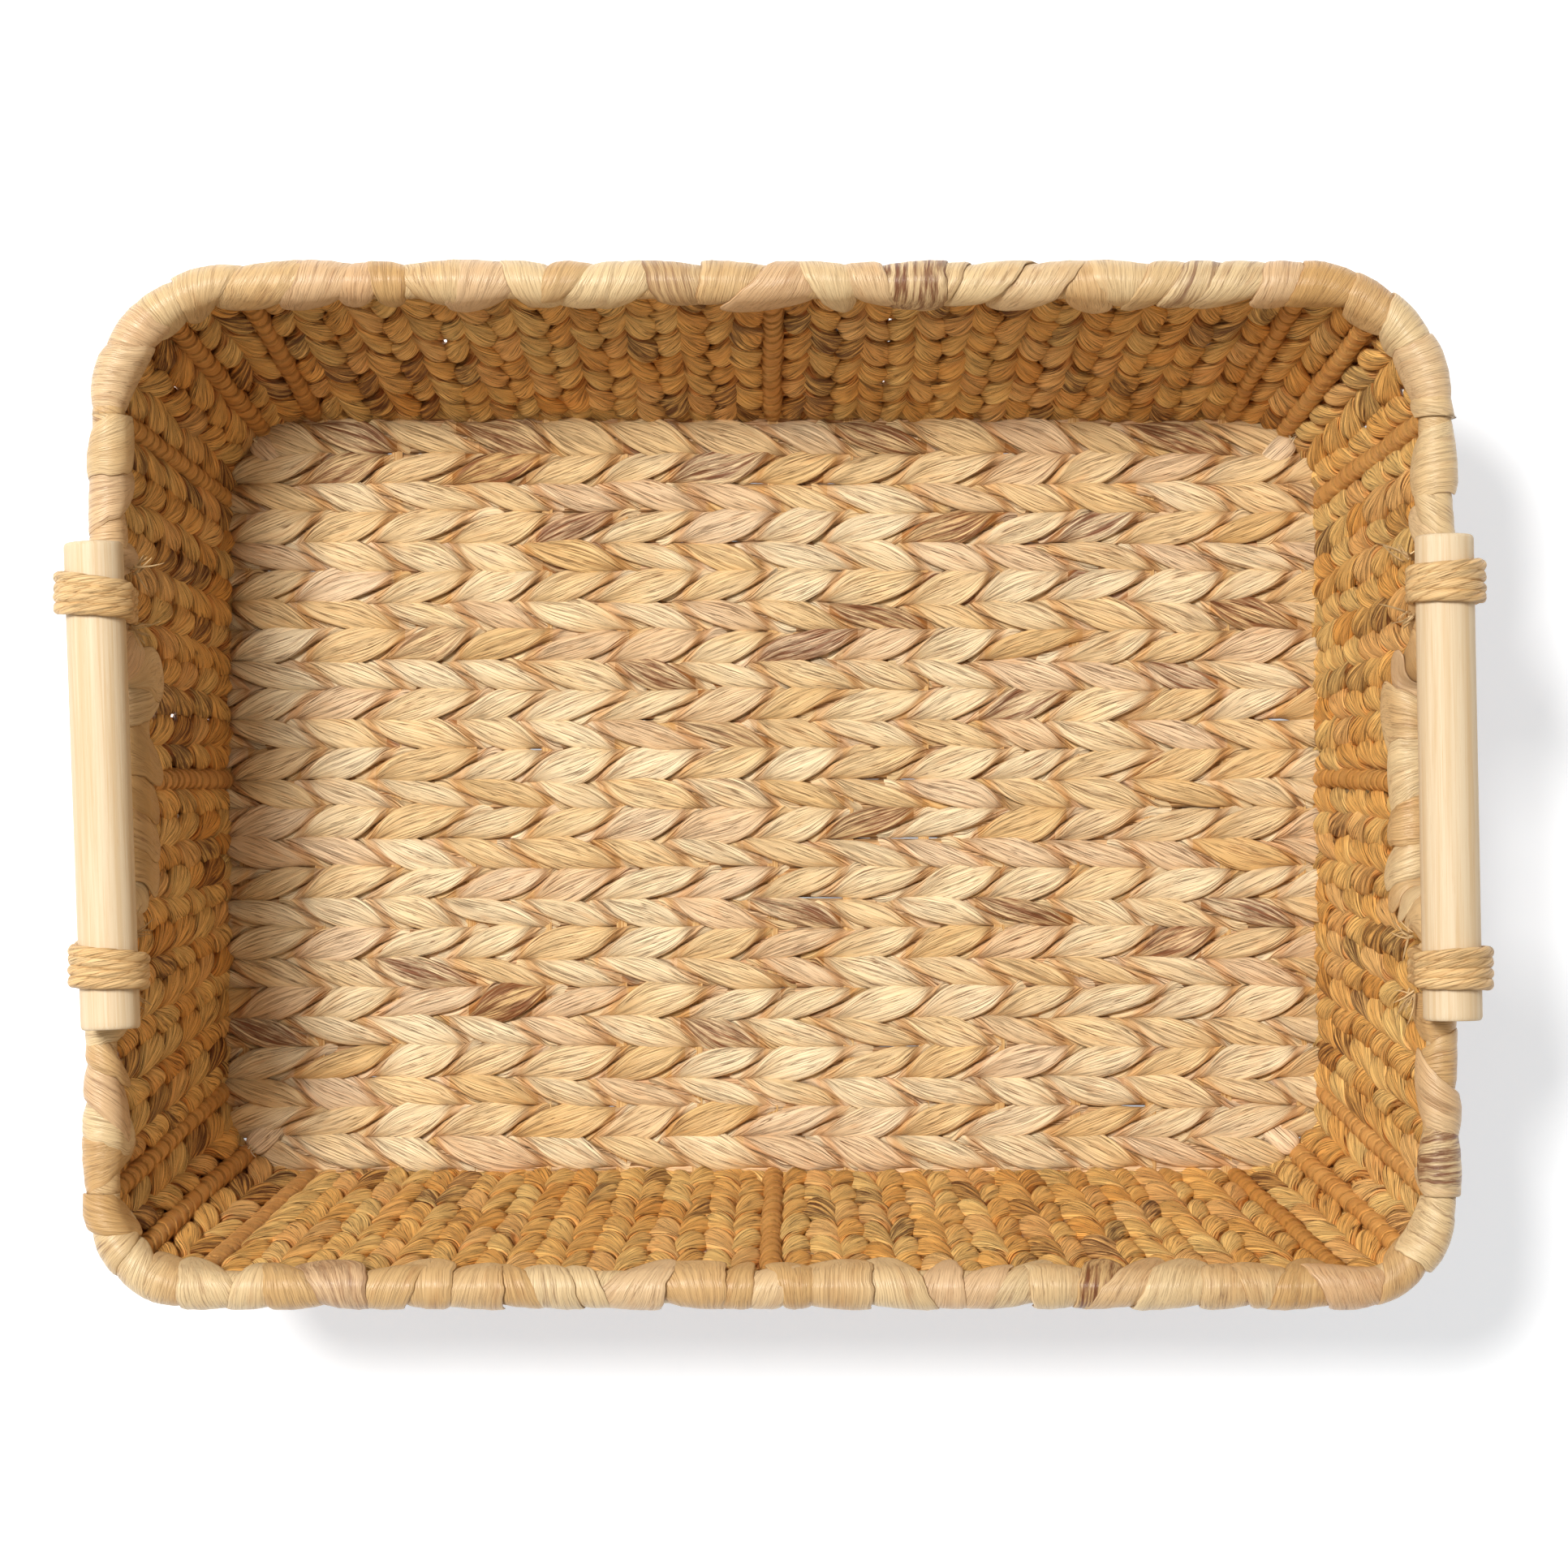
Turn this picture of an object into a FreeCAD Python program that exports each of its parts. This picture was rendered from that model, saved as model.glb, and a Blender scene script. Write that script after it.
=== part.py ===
import FreeCAD, Part

import math
import os

import Sketcher
from FreeCAD import Placement, Rotation, Vector

# A low rectangular basket, woven over a wire frame, with a dowel handle tied over a dip in the rim
# at each short side. Millimetres. +Z is up, +X runs along the length, +Y is the back. The origin is
# the middle of the underside.

DRIVING_SIZES = {
    # Plan of the walls' middle surface, at the foot and at the rim
    "foot_half_length": 167.7,
    "foot_half_width": 117.0,
    "foot_corner": 28.0,
    "rim_half_length": 183.8,
    "rim_half_width": 138.8,
    "rim_corner_back": 37.0,
    "rim_corner_front": 25.0,
    "rim_level": 105.0,
    "wall_thickness": 7.0,
    # The dip in the rim under each handle
    "dip_depth": 22.0,
    "dip_half_width": 42.5,
    "dip_bend": 7.0,
    "dip_slope_angle": 80.0,
    # Wires and their wrapping
    "rim_wire_radius": 2.2,
    "rim_wrap_radius": 5.2,
    "base_wire_radius": 2.0,
    "base_wire_level": 4.5,
    "upright_wire_radius": 1.5,
    "upright_wrap_radius": 3.7,
    # Floor
    "row_count": 25,
    "row_width": 9.05,
    "row_thickness": 8.5,
    "row_edge_rounding": 2.6,
    "row_end_gap": 0.6,
    "stake_count": 15,
    "stake_spacing": 22.96,
    "stake_width": 3.2,
    "stake_thickness": 1.8,
    "stake_level": 4.25,
    # Handles
    "handle_radius": 8.0,
    "handle_length": 132.0,
    "handle_chamfer": 0.8,
    "handle_rise": 13.25,
    # Lashings
    "cord_width": 3.6,
    "cord_thickness": 2.3,
    "cord_clearance": 0.05,
    "lashing_turns": 4,
}

# Where each handle lies: its middle, in X and Y, and how far it is turned from the basket's width
HANDLES = {
    "left": {"x": -182.4, "y": -1.3, "turn": 2.5},
    "right": {"x": 184.4, "y": 0.9, "turn": 0.7},
}

# Lashings: the handle each one ties and its place along the width
LASHINGS = {
    "lashing_left_back": ("left", 50.7),
    "lashing_left_front": ("left", -50.4),
    "lashing_right_back": ("right", 54.6),
    "lashing_right_front": ("right", -50.4),
}

# The middle upright of each corner, as a share of the corner's quarter turn from the long side
CORNER_MIDDLE = {"back": 0.41, "front": 0.5}

REACH = 300.0

doc = FreeCAD.newDocument("bread_basket")
sheet = doc.addObject("Spreadsheet::Sheet", "Sizes")


def fill_sheet():
    """Writes each driving size into its own row of the sheet, with its alias."""
    for row, (alias, value) in enumerate(DRIVING_SIZES.items(), start=1):
        sheet.set(f"A{row}", alias)
        sheet.set(f"B{row}", str(value))
        sheet.setAlias(f"B{row}", alias)
    doc.recompute()


def size(alias):
    """A driving size, read back from the sheet."""
    return float(sheet.get(alias))


def bind(feature, **expressions):
    """Binds a feature's properties to expressions of the sheet's cells."""
    for prop, expression in expressions.items():
        feature.setExpression(prop, expression)


def compound(name, parts):
    """Groups features as one feature of separate solids."""
    group = doc.addObject("Part::Compound", name)
    group.Links = parts
    return group


def cut(name, base, tool):
    """One feature with another taken away from it."""
    result = doc.addObject("Part::Cut", name)
    result.Base = base
    result.Tool = tool
    return result


def solid_feature(name, shape):
    """A feature for a shape that follows a curved path."""
    feature = doc.addObject("Part::Feature", name)
    feature.Shape = shape
    feature.Placement = Placement()
    return feature


# ---------------------------------------------------------------- outline of the walls

def rounded_rectangle(name, half_length, half_width, back_corner, front_corner, level):
    """A sketch of a rounded rectangle. The sizes are expressions of the sheet, the level a number."""
    sketch = doc.addObject("Sketcher::SketchObject", name)
    sketch.Placement = Placement(Vector(0, 0, level), Rotation())
    long_side, short_side, corner = 150.0, 120.0, 30.0
    inner_x, inner_y = long_side - corner, short_side - corner
    lines = [
        (Vector(-inner_x, short_side), Vector(inner_x, short_side)),
        (Vector(long_side, inner_y), Vector(long_side, -inner_y)),
        (Vector(inner_x, -short_side), Vector(-inner_x, -short_side)),
        (Vector(-long_side, -inner_y), Vector(-long_side, inner_y)),
    ]
    centres = [
        (Vector(inner_x, inner_y), 0.0),
        (Vector(inner_x, -inner_y), -math.pi / 2),
        (Vector(-inner_x, -inner_y), -math.pi),
        (Vector(-inner_x, inner_y), math.pi / 2),
    ]
    up = Vector(0, 0, 1)
    for start, end in lines:
        sketch.addGeometry(Part.LineSegment(start, end))
    for centre, angle in centres:
        circle = Part.Circle(centre, up, corner)
        sketch.addGeometry(Part.ArcOfCircle(circle, angle, angle + math.pi / 2))
    for side in range(4):
        arc = 4 + side
        following = (side + 1) % 4
        # Each corner arc runs anticlockwise, from the following side back to this one
        sketch.addConstraint(Sketcher.Constraint("Tangent", side, 2, arc, 2))
        sketch.addConstraint(Sketcher.Constraint("Tangent", arc, 1, following, 1))
    for side in (0, 2):
        sketch.addConstraint(Sketcher.Constraint("Horizontal", side))
    for side in (1, 3):
        sketch.addConstraint(Sketcher.Constraint("Vertical", side))
    named = [
        ("back", "DistanceY", -1, 1, 0, 1, short_side, half_width),
        ("right", "DistanceX", -1, 1, 1, 1, long_side, half_length),
        ("front", "DistanceY", 2, 1, -1, 1, short_side, half_width),
        ("left", "DistanceX", 3, 1, -1, 1, long_side, half_length),
    ]
    for label, kind, first, first_end, second, second_end, value, expression in named:
        index = sketch.addConstraint(
            Sketcher.Constraint(kind, first, first_end, second, second_end, value)
        )
        sketch.renameConstraint(index, label)
        sketch.setExpression(f"Constraints.{label}", expression)
    for arc, expression in zip((4, 5, 6, 7), (back_corner, front_corner, front_corner, back_corner)):
        index = sketch.addConstraint(Sketcher.Constraint("Radius", arc, corner))
        sketch.renameConstraint(index, f"corner_{arc}")
        sketch.setExpression(f"Constraints.corner_{arc}", expression)
    return sketch


def wall_loft(name, offset):
    """The solid inside the walls' middle surface moved out by an expression."""
    foot = rounded_rectangle(
        f"{name}_foot",
        f"Sizes.foot_half_length {offset}",
        f"Sizes.foot_half_width {offset}",
        f"Sizes.foot_corner {offset}",
        f"Sizes.foot_corner {offset}",
        0.0,
    )
    rim = rounded_rectangle(
        f"{name}_rim",
        f"Sizes.rim_half_length {offset}",
        f"Sizes.rim_half_width {offset}",
        f"Sizes.rim_corner_back {offset}",
        f"Sizes.rim_corner_front {offset}",
        size("rim_level"),
    )
    loft = doc.addObject("Part::Loft", name)
    loft.Sections = [foot, rim]
    loft.Solid = True
    loft.Ruled = True
    return loft


def corner_centre(level, end):
    """Half length and half width to a corner's centre, and its radius, at the foot or the rim."""
    radius = size("foot_corner") if level == "foot" else size(f"rim_corner_{end}")
    return size(f"{level}_half_length") - radius, size(f"{level}_half_width") - radius, radius


def wall_point(level, end, side, share):
    """A point on the walls' middle line at the foot or the rim, share of the way round a corner."""
    x, y, radius = corner_centre(level, end)
    turn = math.radians(90.0 * (1.0 - share))
    x += radius * math.cos(turn)
    y += radius * math.sin(turn)
    height = 0.0 if level == "foot" else size("rim_level")
    return Vector(x if side == "right" else -x, y if end == "back" else -y, height)


# ---------------------------------------------------------------- tubes along a path

def line_edge(start, end):
    return Part.LineSegment(start, end).toShape()


def arc_edge(start, middle, end):
    return Part.Arc(start, middle, end).toShape()


def tube(edges, radius):
    """A round bar along edges that join smoothly: a cylinder for each line, a bend for each arc."""
    pieces = []
    for edge in edges:
        first, last = edge.ParameterRange
        start = edge.valueAt(first)
        along = edge.tangentAt(first)
        disc = Part.Face(Part.Wire(Part.Circle(start, along, radius).toShape()))
        if isinstance(edge.Curve, Part.Circle):
            angle = math.degrees(last - first)
            pieces.append(disc.revolve(edge.Curve.Center, edge.Curve.Axis, angle))
        else:
            pieces.append(disc.extrude(edge.valueAt(last) - start))
    return pieces[0].multiFuse(pieces[1:]).removeSplitter() if len(pieces) > 1 else pieces[0]


def corner_edge(end, side, half_length, half_width, radius, level):
    """A quarter circle round one corner, from the long side to the short side."""
    sign_x = 1 if side == "right" else -1
    sign_y = 1 if end == "back" else -1
    centre = Vector(sign_x * (half_length - radius), sign_y * (half_width - radius), level)
    bow = radius * math.sin(math.radians(45.0))
    return arc_edge(
        centre + Vector(0, sign_y * radius, 0),
        centre + Vector(sign_x * bow, sign_y * bow, 0),
        centre + Vector(sign_x * radius, 0, 0),
    )


def dip_edges(side):
    """The rim's middle line along a short side, from back to front, down into the dip and out."""
    sign = 1 if side == "right" else -1
    level = size("rim_level")
    lean = (size("rim_half_length") - size("foot_half_length")) / level
    stretch = math.hypot(1.0, lean)
    bend = size("dip_bend")
    angle = math.radians(size("dip_slope_angle"))
    depth = size("dip_depth") * stretch
    ramp = (depth - 2 * bend * (1 - math.cos(angle))) / math.sin(angle)
    edge_y = size("dip_half_width")

    def place(along, down):
        """A point: along is the distance in from the dip's edge, down is down the leaning wall."""
        drop = down / stretch
        return Vector(sign * (size("rim_half_length") - lean * drop), edge_y - along, level - drop)

    top_bend = [
        (bend * math.sin(angle * part), bend * (1 - math.cos(angle * part))) for part in (0, 0.5, 1)
    ]
    ramp_end = (
        top_bend[2][0] + ramp * math.cos(angle),
        top_bend[2][1] + ramp * math.sin(angle),
    )
    floor_start = (ramp_end[0] + top_bend[2][0], depth)
    low_middle = (floor_start[0] - top_bend[1][0], depth - top_bend[1][1])
    entering = [
        arc_edge(*(place(*point) for point in top_bend)),
        line_edge(place(*top_bend[2]), place(*ramp_end)),
        arc_edge(place(*ramp_end), place(*low_middle), place(*floor_start)),
    ]
    floor_end = (2 * edge_y - floor_start[0], depth)
    middle = [line_edge(place(*floor_start), place(*floor_end))]

    def mirrored(point):
        return place(2 * edge_y - point[0], point[1])

    leaving = [
        arc_edge(mirrored(floor_start), mirrored(low_middle), mirrored(ramp_end)),
        line_edge(mirrored(ramp_end), mirrored(top_bend[2])),
        arc_edge(mirrored(top_bend[2]), mirrored(top_bend[1]), mirrored(top_bend[0])),
    ]
    return entering + middle + leaving


def rim_edges():
    """The rim's middle line in four stretches: back and front with their corners, left and right."""
    half_length, half_width = size("rim_half_length"), size("rim_half_width")
    level = size("rim_level")
    stretches = {}
    for end, sign in (("back", 1), ("front", -1)):
        radius = size(f"rim_corner_{end}")
        reach = half_length - radius
        straight = line_edge(
            Vector(-reach, sign * half_width, level), Vector(reach, sign * half_width, level)
        )
        corners = [
            corner_edge(end, side, half_length, half_width, radius, level)
            for side in ("left", "right")
        ]
        stretches[end] = [straight] + corners
    for side, sign in (("left", -1), ("right", 1)):
        back_y = half_width - size("rim_corner_back")
        front_y = -(half_width - size("rim_corner_front"))
        edge_y = size("dip_half_width")
        x = sign * half_length
        stretches[side] = (
            [line_edge(Vector(x, back_y, level), Vector(x, edge_y, level))]
            + dip_edges(side)
            + [line_edge(Vector(x, -edge_y, level), Vector(x, front_y, level))]
        )
    return stretches


def base_ring():
    """Half length, half width and corner radius of the walls' middle line at the base wire."""
    share = size("base_wire_level") / size("rim_level")
    half_length = size("foot_half_length") * (1 - share) + size("rim_half_length") * share
    half_width = size("foot_half_width") * (1 - share) + size("rim_half_width") * share
    return half_length, half_width, size("foot_corner")


def base_wire_shape():
    """The ring at the foot of the walls, on their middle surface."""
    level = size("base_wire_level")
    half_length, half_width, radius = base_ring()
    reach_x, reach_y = half_length - radius, half_width - radius
    edges = []
    for sign in (1, -1):
        edges.append(
            line_edge(
                Vector(-reach_x, sign * half_width, level), Vector(reach_x, sign * half_width, level)
            )
        )
        edges.append(
            line_edge(
                Vector(sign * half_length, -reach_y, level), Vector(sign * half_length, reach_y, level)
            )
        )
    for end in ("back", "front"):
        for side in ("left", "right"):
            edges.append(corner_edge(end, side, half_length, half_width, radius, level))
    return tube(edges, size("base_wire_radius"))


# ---------------------------------------------------------------- uprights

def upright_lines():
    """The foot and the top of each upright, in the groups that share a node."""
    groups = {}
    for end in ("back", "front"):
        for side in ("left", "right"):
            groups[f"upright_wraps_{end}_{side}"] = [
                (wall_point("foot", end, side, share), wall_point("rim", end, side, share))
                for share in (0.0, CORNER_MIDDLE[end], 1.0)
            ]
    for end, sign in (("back", 1), ("front", -1)):
        foot = Vector(0, sign * size("foot_half_width"), 0)
        groups[f"upright_wrap_{end}"] = [
            (foot, Vector(0, sign * size("rim_half_width"), size("rim_level")))
        ]
    for side, sign in (("left", -1), ("right", 1)):
        foot = Vector(sign * size("foot_half_length"), 0, 0)
        rim = Vector(sign * size("rim_half_length"), 0, size("rim_level"))
        dip_share = 1 - size("dip_depth") / size("rim_level")
        groups[f"upright_wrap_{side}"] = [(foot, foot + (rim - foot) * dip_share)]
    return groups


def upright_bar(name, foot, top, radius_alias, start_level):
    """A straight round bar up the wall, from a level near the foot to the rim's middle line."""
    whole = top - foot
    start = foot + whole * (start_level / whole.z)
    bar = doc.addObject("Part::Cylinder", name)
    bind(bar, Radius=f"Sizes.{radius_alias}")
    bar.Height = (top - start).Length
    bar.Placement = Placement(start, Rotation(Vector(0, 0, 1), whole))
    return bar


# ---------------------------------------------------------------- wall panels

def sector(name, foot_x, rim_x, foot_y, rim_y):
    """A block whose sides lean with the walls. Each range is a pair of expressions, low and high."""
    block = doc.addObject("Part::Wedge", name)
    bind(
        block,
        Xmin=foot_x[0],
        Xmax=foot_x[1],
        X2min=rim_x[0],
        X2max=rim_x[1],
        Zmin=f"-({foot_y[1]})",
        Zmax=f"-({foot_y[0]})",
        Z2min=f"-({rim_y[1]})",
        Z2max=f"-({rim_y[0]})",
        Ymax="Sizes.rim_level",
    )
    block.Ymin = 0
    # The wedge tapers along its own Y, which is stood up along Z
    block.Placement = Placement(Vector(), Rotation(Vector(1, 0, 0), 90))
    return block


def mirror_range(pair, flip):
    """The range, or its mirror image about zero, as expressions with the lower one first."""
    low, high = (str(value) for value in pair)
    return (f"-{high}", f"-{low}") if flip else (low, high)


def panel_sectors():
    """The block of space that each wall panel and each corner's panels fill."""
    foot_x = "(Sizes.foot_half_length - Sizes.foot_corner)"
    foot_y = "(Sizes.foot_half_width - Sizes.foot_corner)"
    blocks = {}
    for end in ("back", "front"):
        rim_x = f"(Sizes.rim_half_length - Sizes.rim_corner_{end})"
        rim_y = f"(Sizes.rim_half_width - Sizes.rim_corner_{end})"
        for side in ("left", "right"):
            ranges = {
                f"wall_weave_{end}_{side}": (("0", foot_x), ("0", rim_x), ("0", REACH), ("0", REACH)),
                f"wall_weave_{side}_{end}": (("0", REACH), ("0", REACH), ("0", foot_y), ("0", rim_y)),
                f"corner_weave_{end}_{side}": (
                    (foot_x, REACH),
                    (rim_x, REACH),
                    (foot_y, REACH),
                    (rim_y, REACH),
                ),
            }
            for name, (low_x, high_x, low_y, high_y) in ranges.items():
                flip_x, flip_y = side == "left", end == "front"
                blocks[name] = (
                    mirror_range(low_x, flip_x),
                    mirror_range(high_x, flip_x),
                    mirror_range(low_y, flip_y),
                    mirror_range(high_y, flip_y),
                )
    return blocks


def dip_space(side):
    """The space above the dip in the rim, which takes the top off the wall there."""
    edges = dip_edges(side)
    start = edges[0].valueAt(edges[0].FirstParameter)
    end = Vector(start.x, -start.y, start.z)
    lowest = edges[3].valueAt(edges[3].FirstParameter)
    above = Vector(start.x - lowest.x, 0, start.z - lowest.z)
    closing = [
        line_edge(end, end + above),
        line_edge(end + above, start + above),
        line_edge(start + above, start),
    ]
    face = Part.Face(Part.Wire(Part.__sortEdges__(edges + closing)))
    across = Vector(size("foot_corner"), 0, 0)
    face.translate(across * -1)
    return face.extrude(across * 2)


# ---------------------------------------------------------------- floor

def floor_row(index, stakes):
    """One floor row: a bar with round ends, which the stakes pass through."""
    name = f"floor_row_{index + 1:02d}"
    middle = (size("row_count") - 1) / 2
    y = (middle - index) * size("row_width")
    body = doc.addObject("PartDesign::Body", f"{name}_body")
    plane = next(f for f in body.Origin.OriginFeatures if f.Role == "XY_Plane")
    sketch = body.newObject("Sketcher::SketchObject", f"{name}_outline")
    sketch.AttachmentSupport = [(plane, "")]
    sketch.MapMode = "FlatFace"
    radius, reach = size("row_width") / 2, 100.0
    up = Vector(0, 0, 1)
    sketch.addGeometry(Part.LineSegment(Vector(reach, radius), Vector(-reach, radius)))
    sketch.addGeometry(Part.LineSegment(Vector(-reach, -radius), Vector(reach, -radius)))
    left_end = Part.Circle(Vector(-reach, 0), up, radius)
    right_end = Part.Circle(Vector(reach, 0), up, radius)
    sketch.addGeometry(Part.ArcOfCircle(left_end, math.pi / 2, 3 * math.pi / 2))
    sketch.addGeometry(Part.ArcOfCircle(right_end, -math.pi / 2, math.pi / 2))
    for first, first_end, second, second_end in ((0, 2, 2, 1), (2, 2, 1, 1), (1, 2, 3, 1), (3, 2, 0, 1)):
        sketch.addConstraint(Sketcher.Constraint("Tangent", first, first_end, second, second_end))
    sketch.addConstraint(Sketcher.Constraint("Horizontal", 0))
    sketch.addConstraint(Sketcher.Constraint("Symmetric", 2, 3, 3, 3, -1, 1))
    sketch.addConstraint(Sketcher.Constraint("Equal", 2, 3))
    width = sketch.addConstraint(Sketcher.Constraint("Radius", 2, radius))
    sketch.setExpression(f"Constraints[{width}]", "Sizes.row_width / 2")
    length = sketch.addConstraint(Sketcher.Constraint("DistanceX", 2, 3, 3, 3, 2 * reach))
    # The rows near the long sides stop short, to follow the floor's round corners
    outer_edge = f"({abs(y)} + Sizes.row_width / 2)"
    past_centre = f"max(0; {outer_edge} - Sizes.foot_half_width + Sizes.foot_corner)"
    inner_corner = "(Sizes.foot_corner - Sizes.wall_thickness / 2)"
    end_x = (
        f"Sizes.foot_half_length - Sizes.foot_corner + "
        f"sqrt(max(0; {inner_corner} ^ 2 - {past_centre} ^ 2))"
    )
    sketch.setExpression(
        f"Constraints[{length}]", f"2 * ({end_x} - Sizes.row_end_gap - Sizes.row_width / 2)"
    )
    pad = body.newObject("PartDesign::Pad", f"{name}_pad")
    pad.Profile = sketch
    bind(pad, Length="Sizes.row_thickness")
    doc.recompute()
    flat_faces = [
        f"Face{number}"
        for number, face in enumerate(pad.Shape.Faces, start=1)
        if abs(face.normalAt(0, 0).z) > 0.99
    ]
    rounding = body.newObject("PartDesign::Fillet", f"{name}_rounding")
    rounding.Base = (pad, flat_faces)
    bind(rounding, Radius="Sizes.row_edge_rounding")
    body.Tip = rounding
    body.Placement = Placement(Vector(0, y, 0), Rotation())
    return cut(name, body, stakes)


def floor_stakes():
    """The strips across the floor, which run into the foot of the front and back walls."""
    strips = []
    count = int(size("stake_count"))
    for index in range(count):
        offset = index - (count - 1) / 2
        strip = doc.addObject("Part::Box", f"stake_{index + 1:02d}")
        bind(strip, Length="Sizes.stake_width", Height="Sizes.stake_thickness")
        reach = stake_reach(offset * size("stake_spacing"))
        strip.Width = 2 * reach
        strip.Placement = Placement(
            Vector(
                offset * size("stake_spacing") - size("stake_width") / 2,
                -reach,
                size("stake_level") - size("stake_thickness") / 2,
            ),
            Rotation(),
        )
        strips.append(strip)
    return compound("floor_stakes", strips)


def stake_reach(x):
    """How far a stake reaches from the middle, so that it ends just inside the base wire."""
    half_length, half_width, radius = base_ring()
    inner_radius = radius - size("base_wire_radius")
    past_centre = max(0.0, abs(x) + size("stake_width") / 2 - half_length + radius)
    return half_width - radius + math.sqrt(inner_radius**2 - past_centre**2)


# ---------------------------------------------------------------- handles and lashings

def handle_middle(side, y):
    """The middle line of a handle, at a place along the width."""
    place = HANDLES[side]
    x = place["x"] - (y - place["y"]) * math.tan(math.radians(place["turn"]))
    return Vector(x, y, size("rim_level") + size("handle_rise"))


def handle(side):
    """A wooden dowel with its ends chamfered, laid along the width on top of the rim."""
    dowel = doc.addObject("Part::Cylinder", f"dowel_{side}")
    bind(dowel, Radius="Sizes.handle_radius", Height="Sizes.handle_length")
    doc.recompute()
    rims = [
        number
        for number, edge in enumerate(dowel.Shape.Edges, start=1)
        if isinstance(edge.Curve, Part.Circle)
    ]
    chamfered = doc.addObject("Part::Chamfer", f"handle_{side}")
    chamfered.Base = dowel
    chamfered.Edges = [(number, size("handle_chamfer"), size("handle_chamfer")) for number in rims]
    place = HANDLES[side]
    turn = Rotation(Vector(0, 0, 1), place["turn"]) * Rotation(Vector(1, 0, 0), -90)
    middle = Vector(place["x"], place["y"], size("rim_level") + size("handle_rise"))
    half = turn.multVec(Vector(0, 0, size("handle_length") / 2))
    chamfered.Placement = Placement(middle - half, turn)
    return chamfered


def belt_sketch(name, side, y, across, offset_expressions):
    """A sketch, in a plane across the rim, of belts round the handle and the rim together."""
    sketch = doc.addObject("Sketcher::SketchObject", name)
    sketch.Placement = Placement(Vector(0, y, 0), Rotation(Vector(1, 0, 0), 90))
    top = Vector(across, size("rim_level") + size("handle_rise"), 0)
    sign = 1 if side == "right" else -1
    low = Vector(sign * size("rim_half_length"), size("rim_level"), 0)
    up = Vector(0, 0, 1)
    line_angle = math.atan2(top.y - low.y, top.x - low.x)
    lean = math.acos((size("handle_radius") - size("rim_wrap_radius")) / (top - low).Length)
    for expression in offset_expressions:
        base = sketch.GeometryCount
        radii = (size("handle_radius") + 1.0, size("rim_wrap_radius") + 1.0)
        start, finish = line_angle - lean, line_angle + lean
        for centre, radius, first, last in (
            (top, radii[0], start, finish),
            (low, radii[1], finish, start + 2 * math.pi),
        ):
            sketch.addGeometry(Part.ArcOfCircle(Part.Circle(centre, up, radius), first, last))
        ends = [sketch.Geometry[base + arc] for arc in (0, 1)]
        sketch.addGeometry(Part.LineSegment(ends[0].EndPoint, ends[1].StartPoint))
        sketch.addGeometry(Part.LineSegment(ends[1].EndPoint, ends[0].StartPoint))
        joins = ((0, 2, 2, 1), (2, 2, 1, 1), (1, 2, 3, 1), (3, 2, 0, 1))
        for first, first_end, second, second_end in joins:
            sketch.addConstraint(
                Sketcher.Constraint("Tangent", base + first, first_end, base + second, second_end)
            )
        for arc, centre in ((0, top), (1, low)):
            sketch.addConstraint(Sketcher.Constraint("DistanceX", -1, 1, base + arc, 3, centre.x))
            sketch.addConstraint(Sketcher.Constraint("DistanceY", -1, 1, base + arc, 3, centre.y))
        for arc, alias, radius in ((0, "handle_radius", radii[0]), (1, "rim_wrap_radius", radii[1])):
            index = sketch.addConstraint(Sketcher.Constraint("Radius", base + arc, radius))
            sketch.setExpression(f"Constraints[{index}]", f"Sizes.{alias} + {expression}")
    return sketch


def lashing(name):
    """Turns of cord side by side round a handle and the rim, as separate closed turns."""
    side, middle_y = LASHINGS[name]
    turns = []
    count = int(size("lashing_turns"))
    for index in range(count):
        offset = index - (count - 1) / 2
        y = middle_y + offset * size("cord_width")
        sketch = belt_sketch(
            f"{name}_turn_{index + 1}_outline",
            side,
            y + size("cord_width") / 2,
            handle_middle(side, y).x,
            ("Sizes.cord_clearance + Sizes.cord_thickness", "Sizes.cord_clearance"),
        )
        turn = doc.addObject("Part::Extrusion", f"{name}_turn_{index + 1}")
        turn.Base = sketch
        turn.Dir = Vector(0, -1, 0)
        turn.DirMode = "Custom"
        turn.Solid = True
        bind(turn, LengthFwd="Sizes.cord_width")
        turns.append(turn)
    return compound(name, turns)


# ---------------------------------------------------------------- the whole basket

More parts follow.
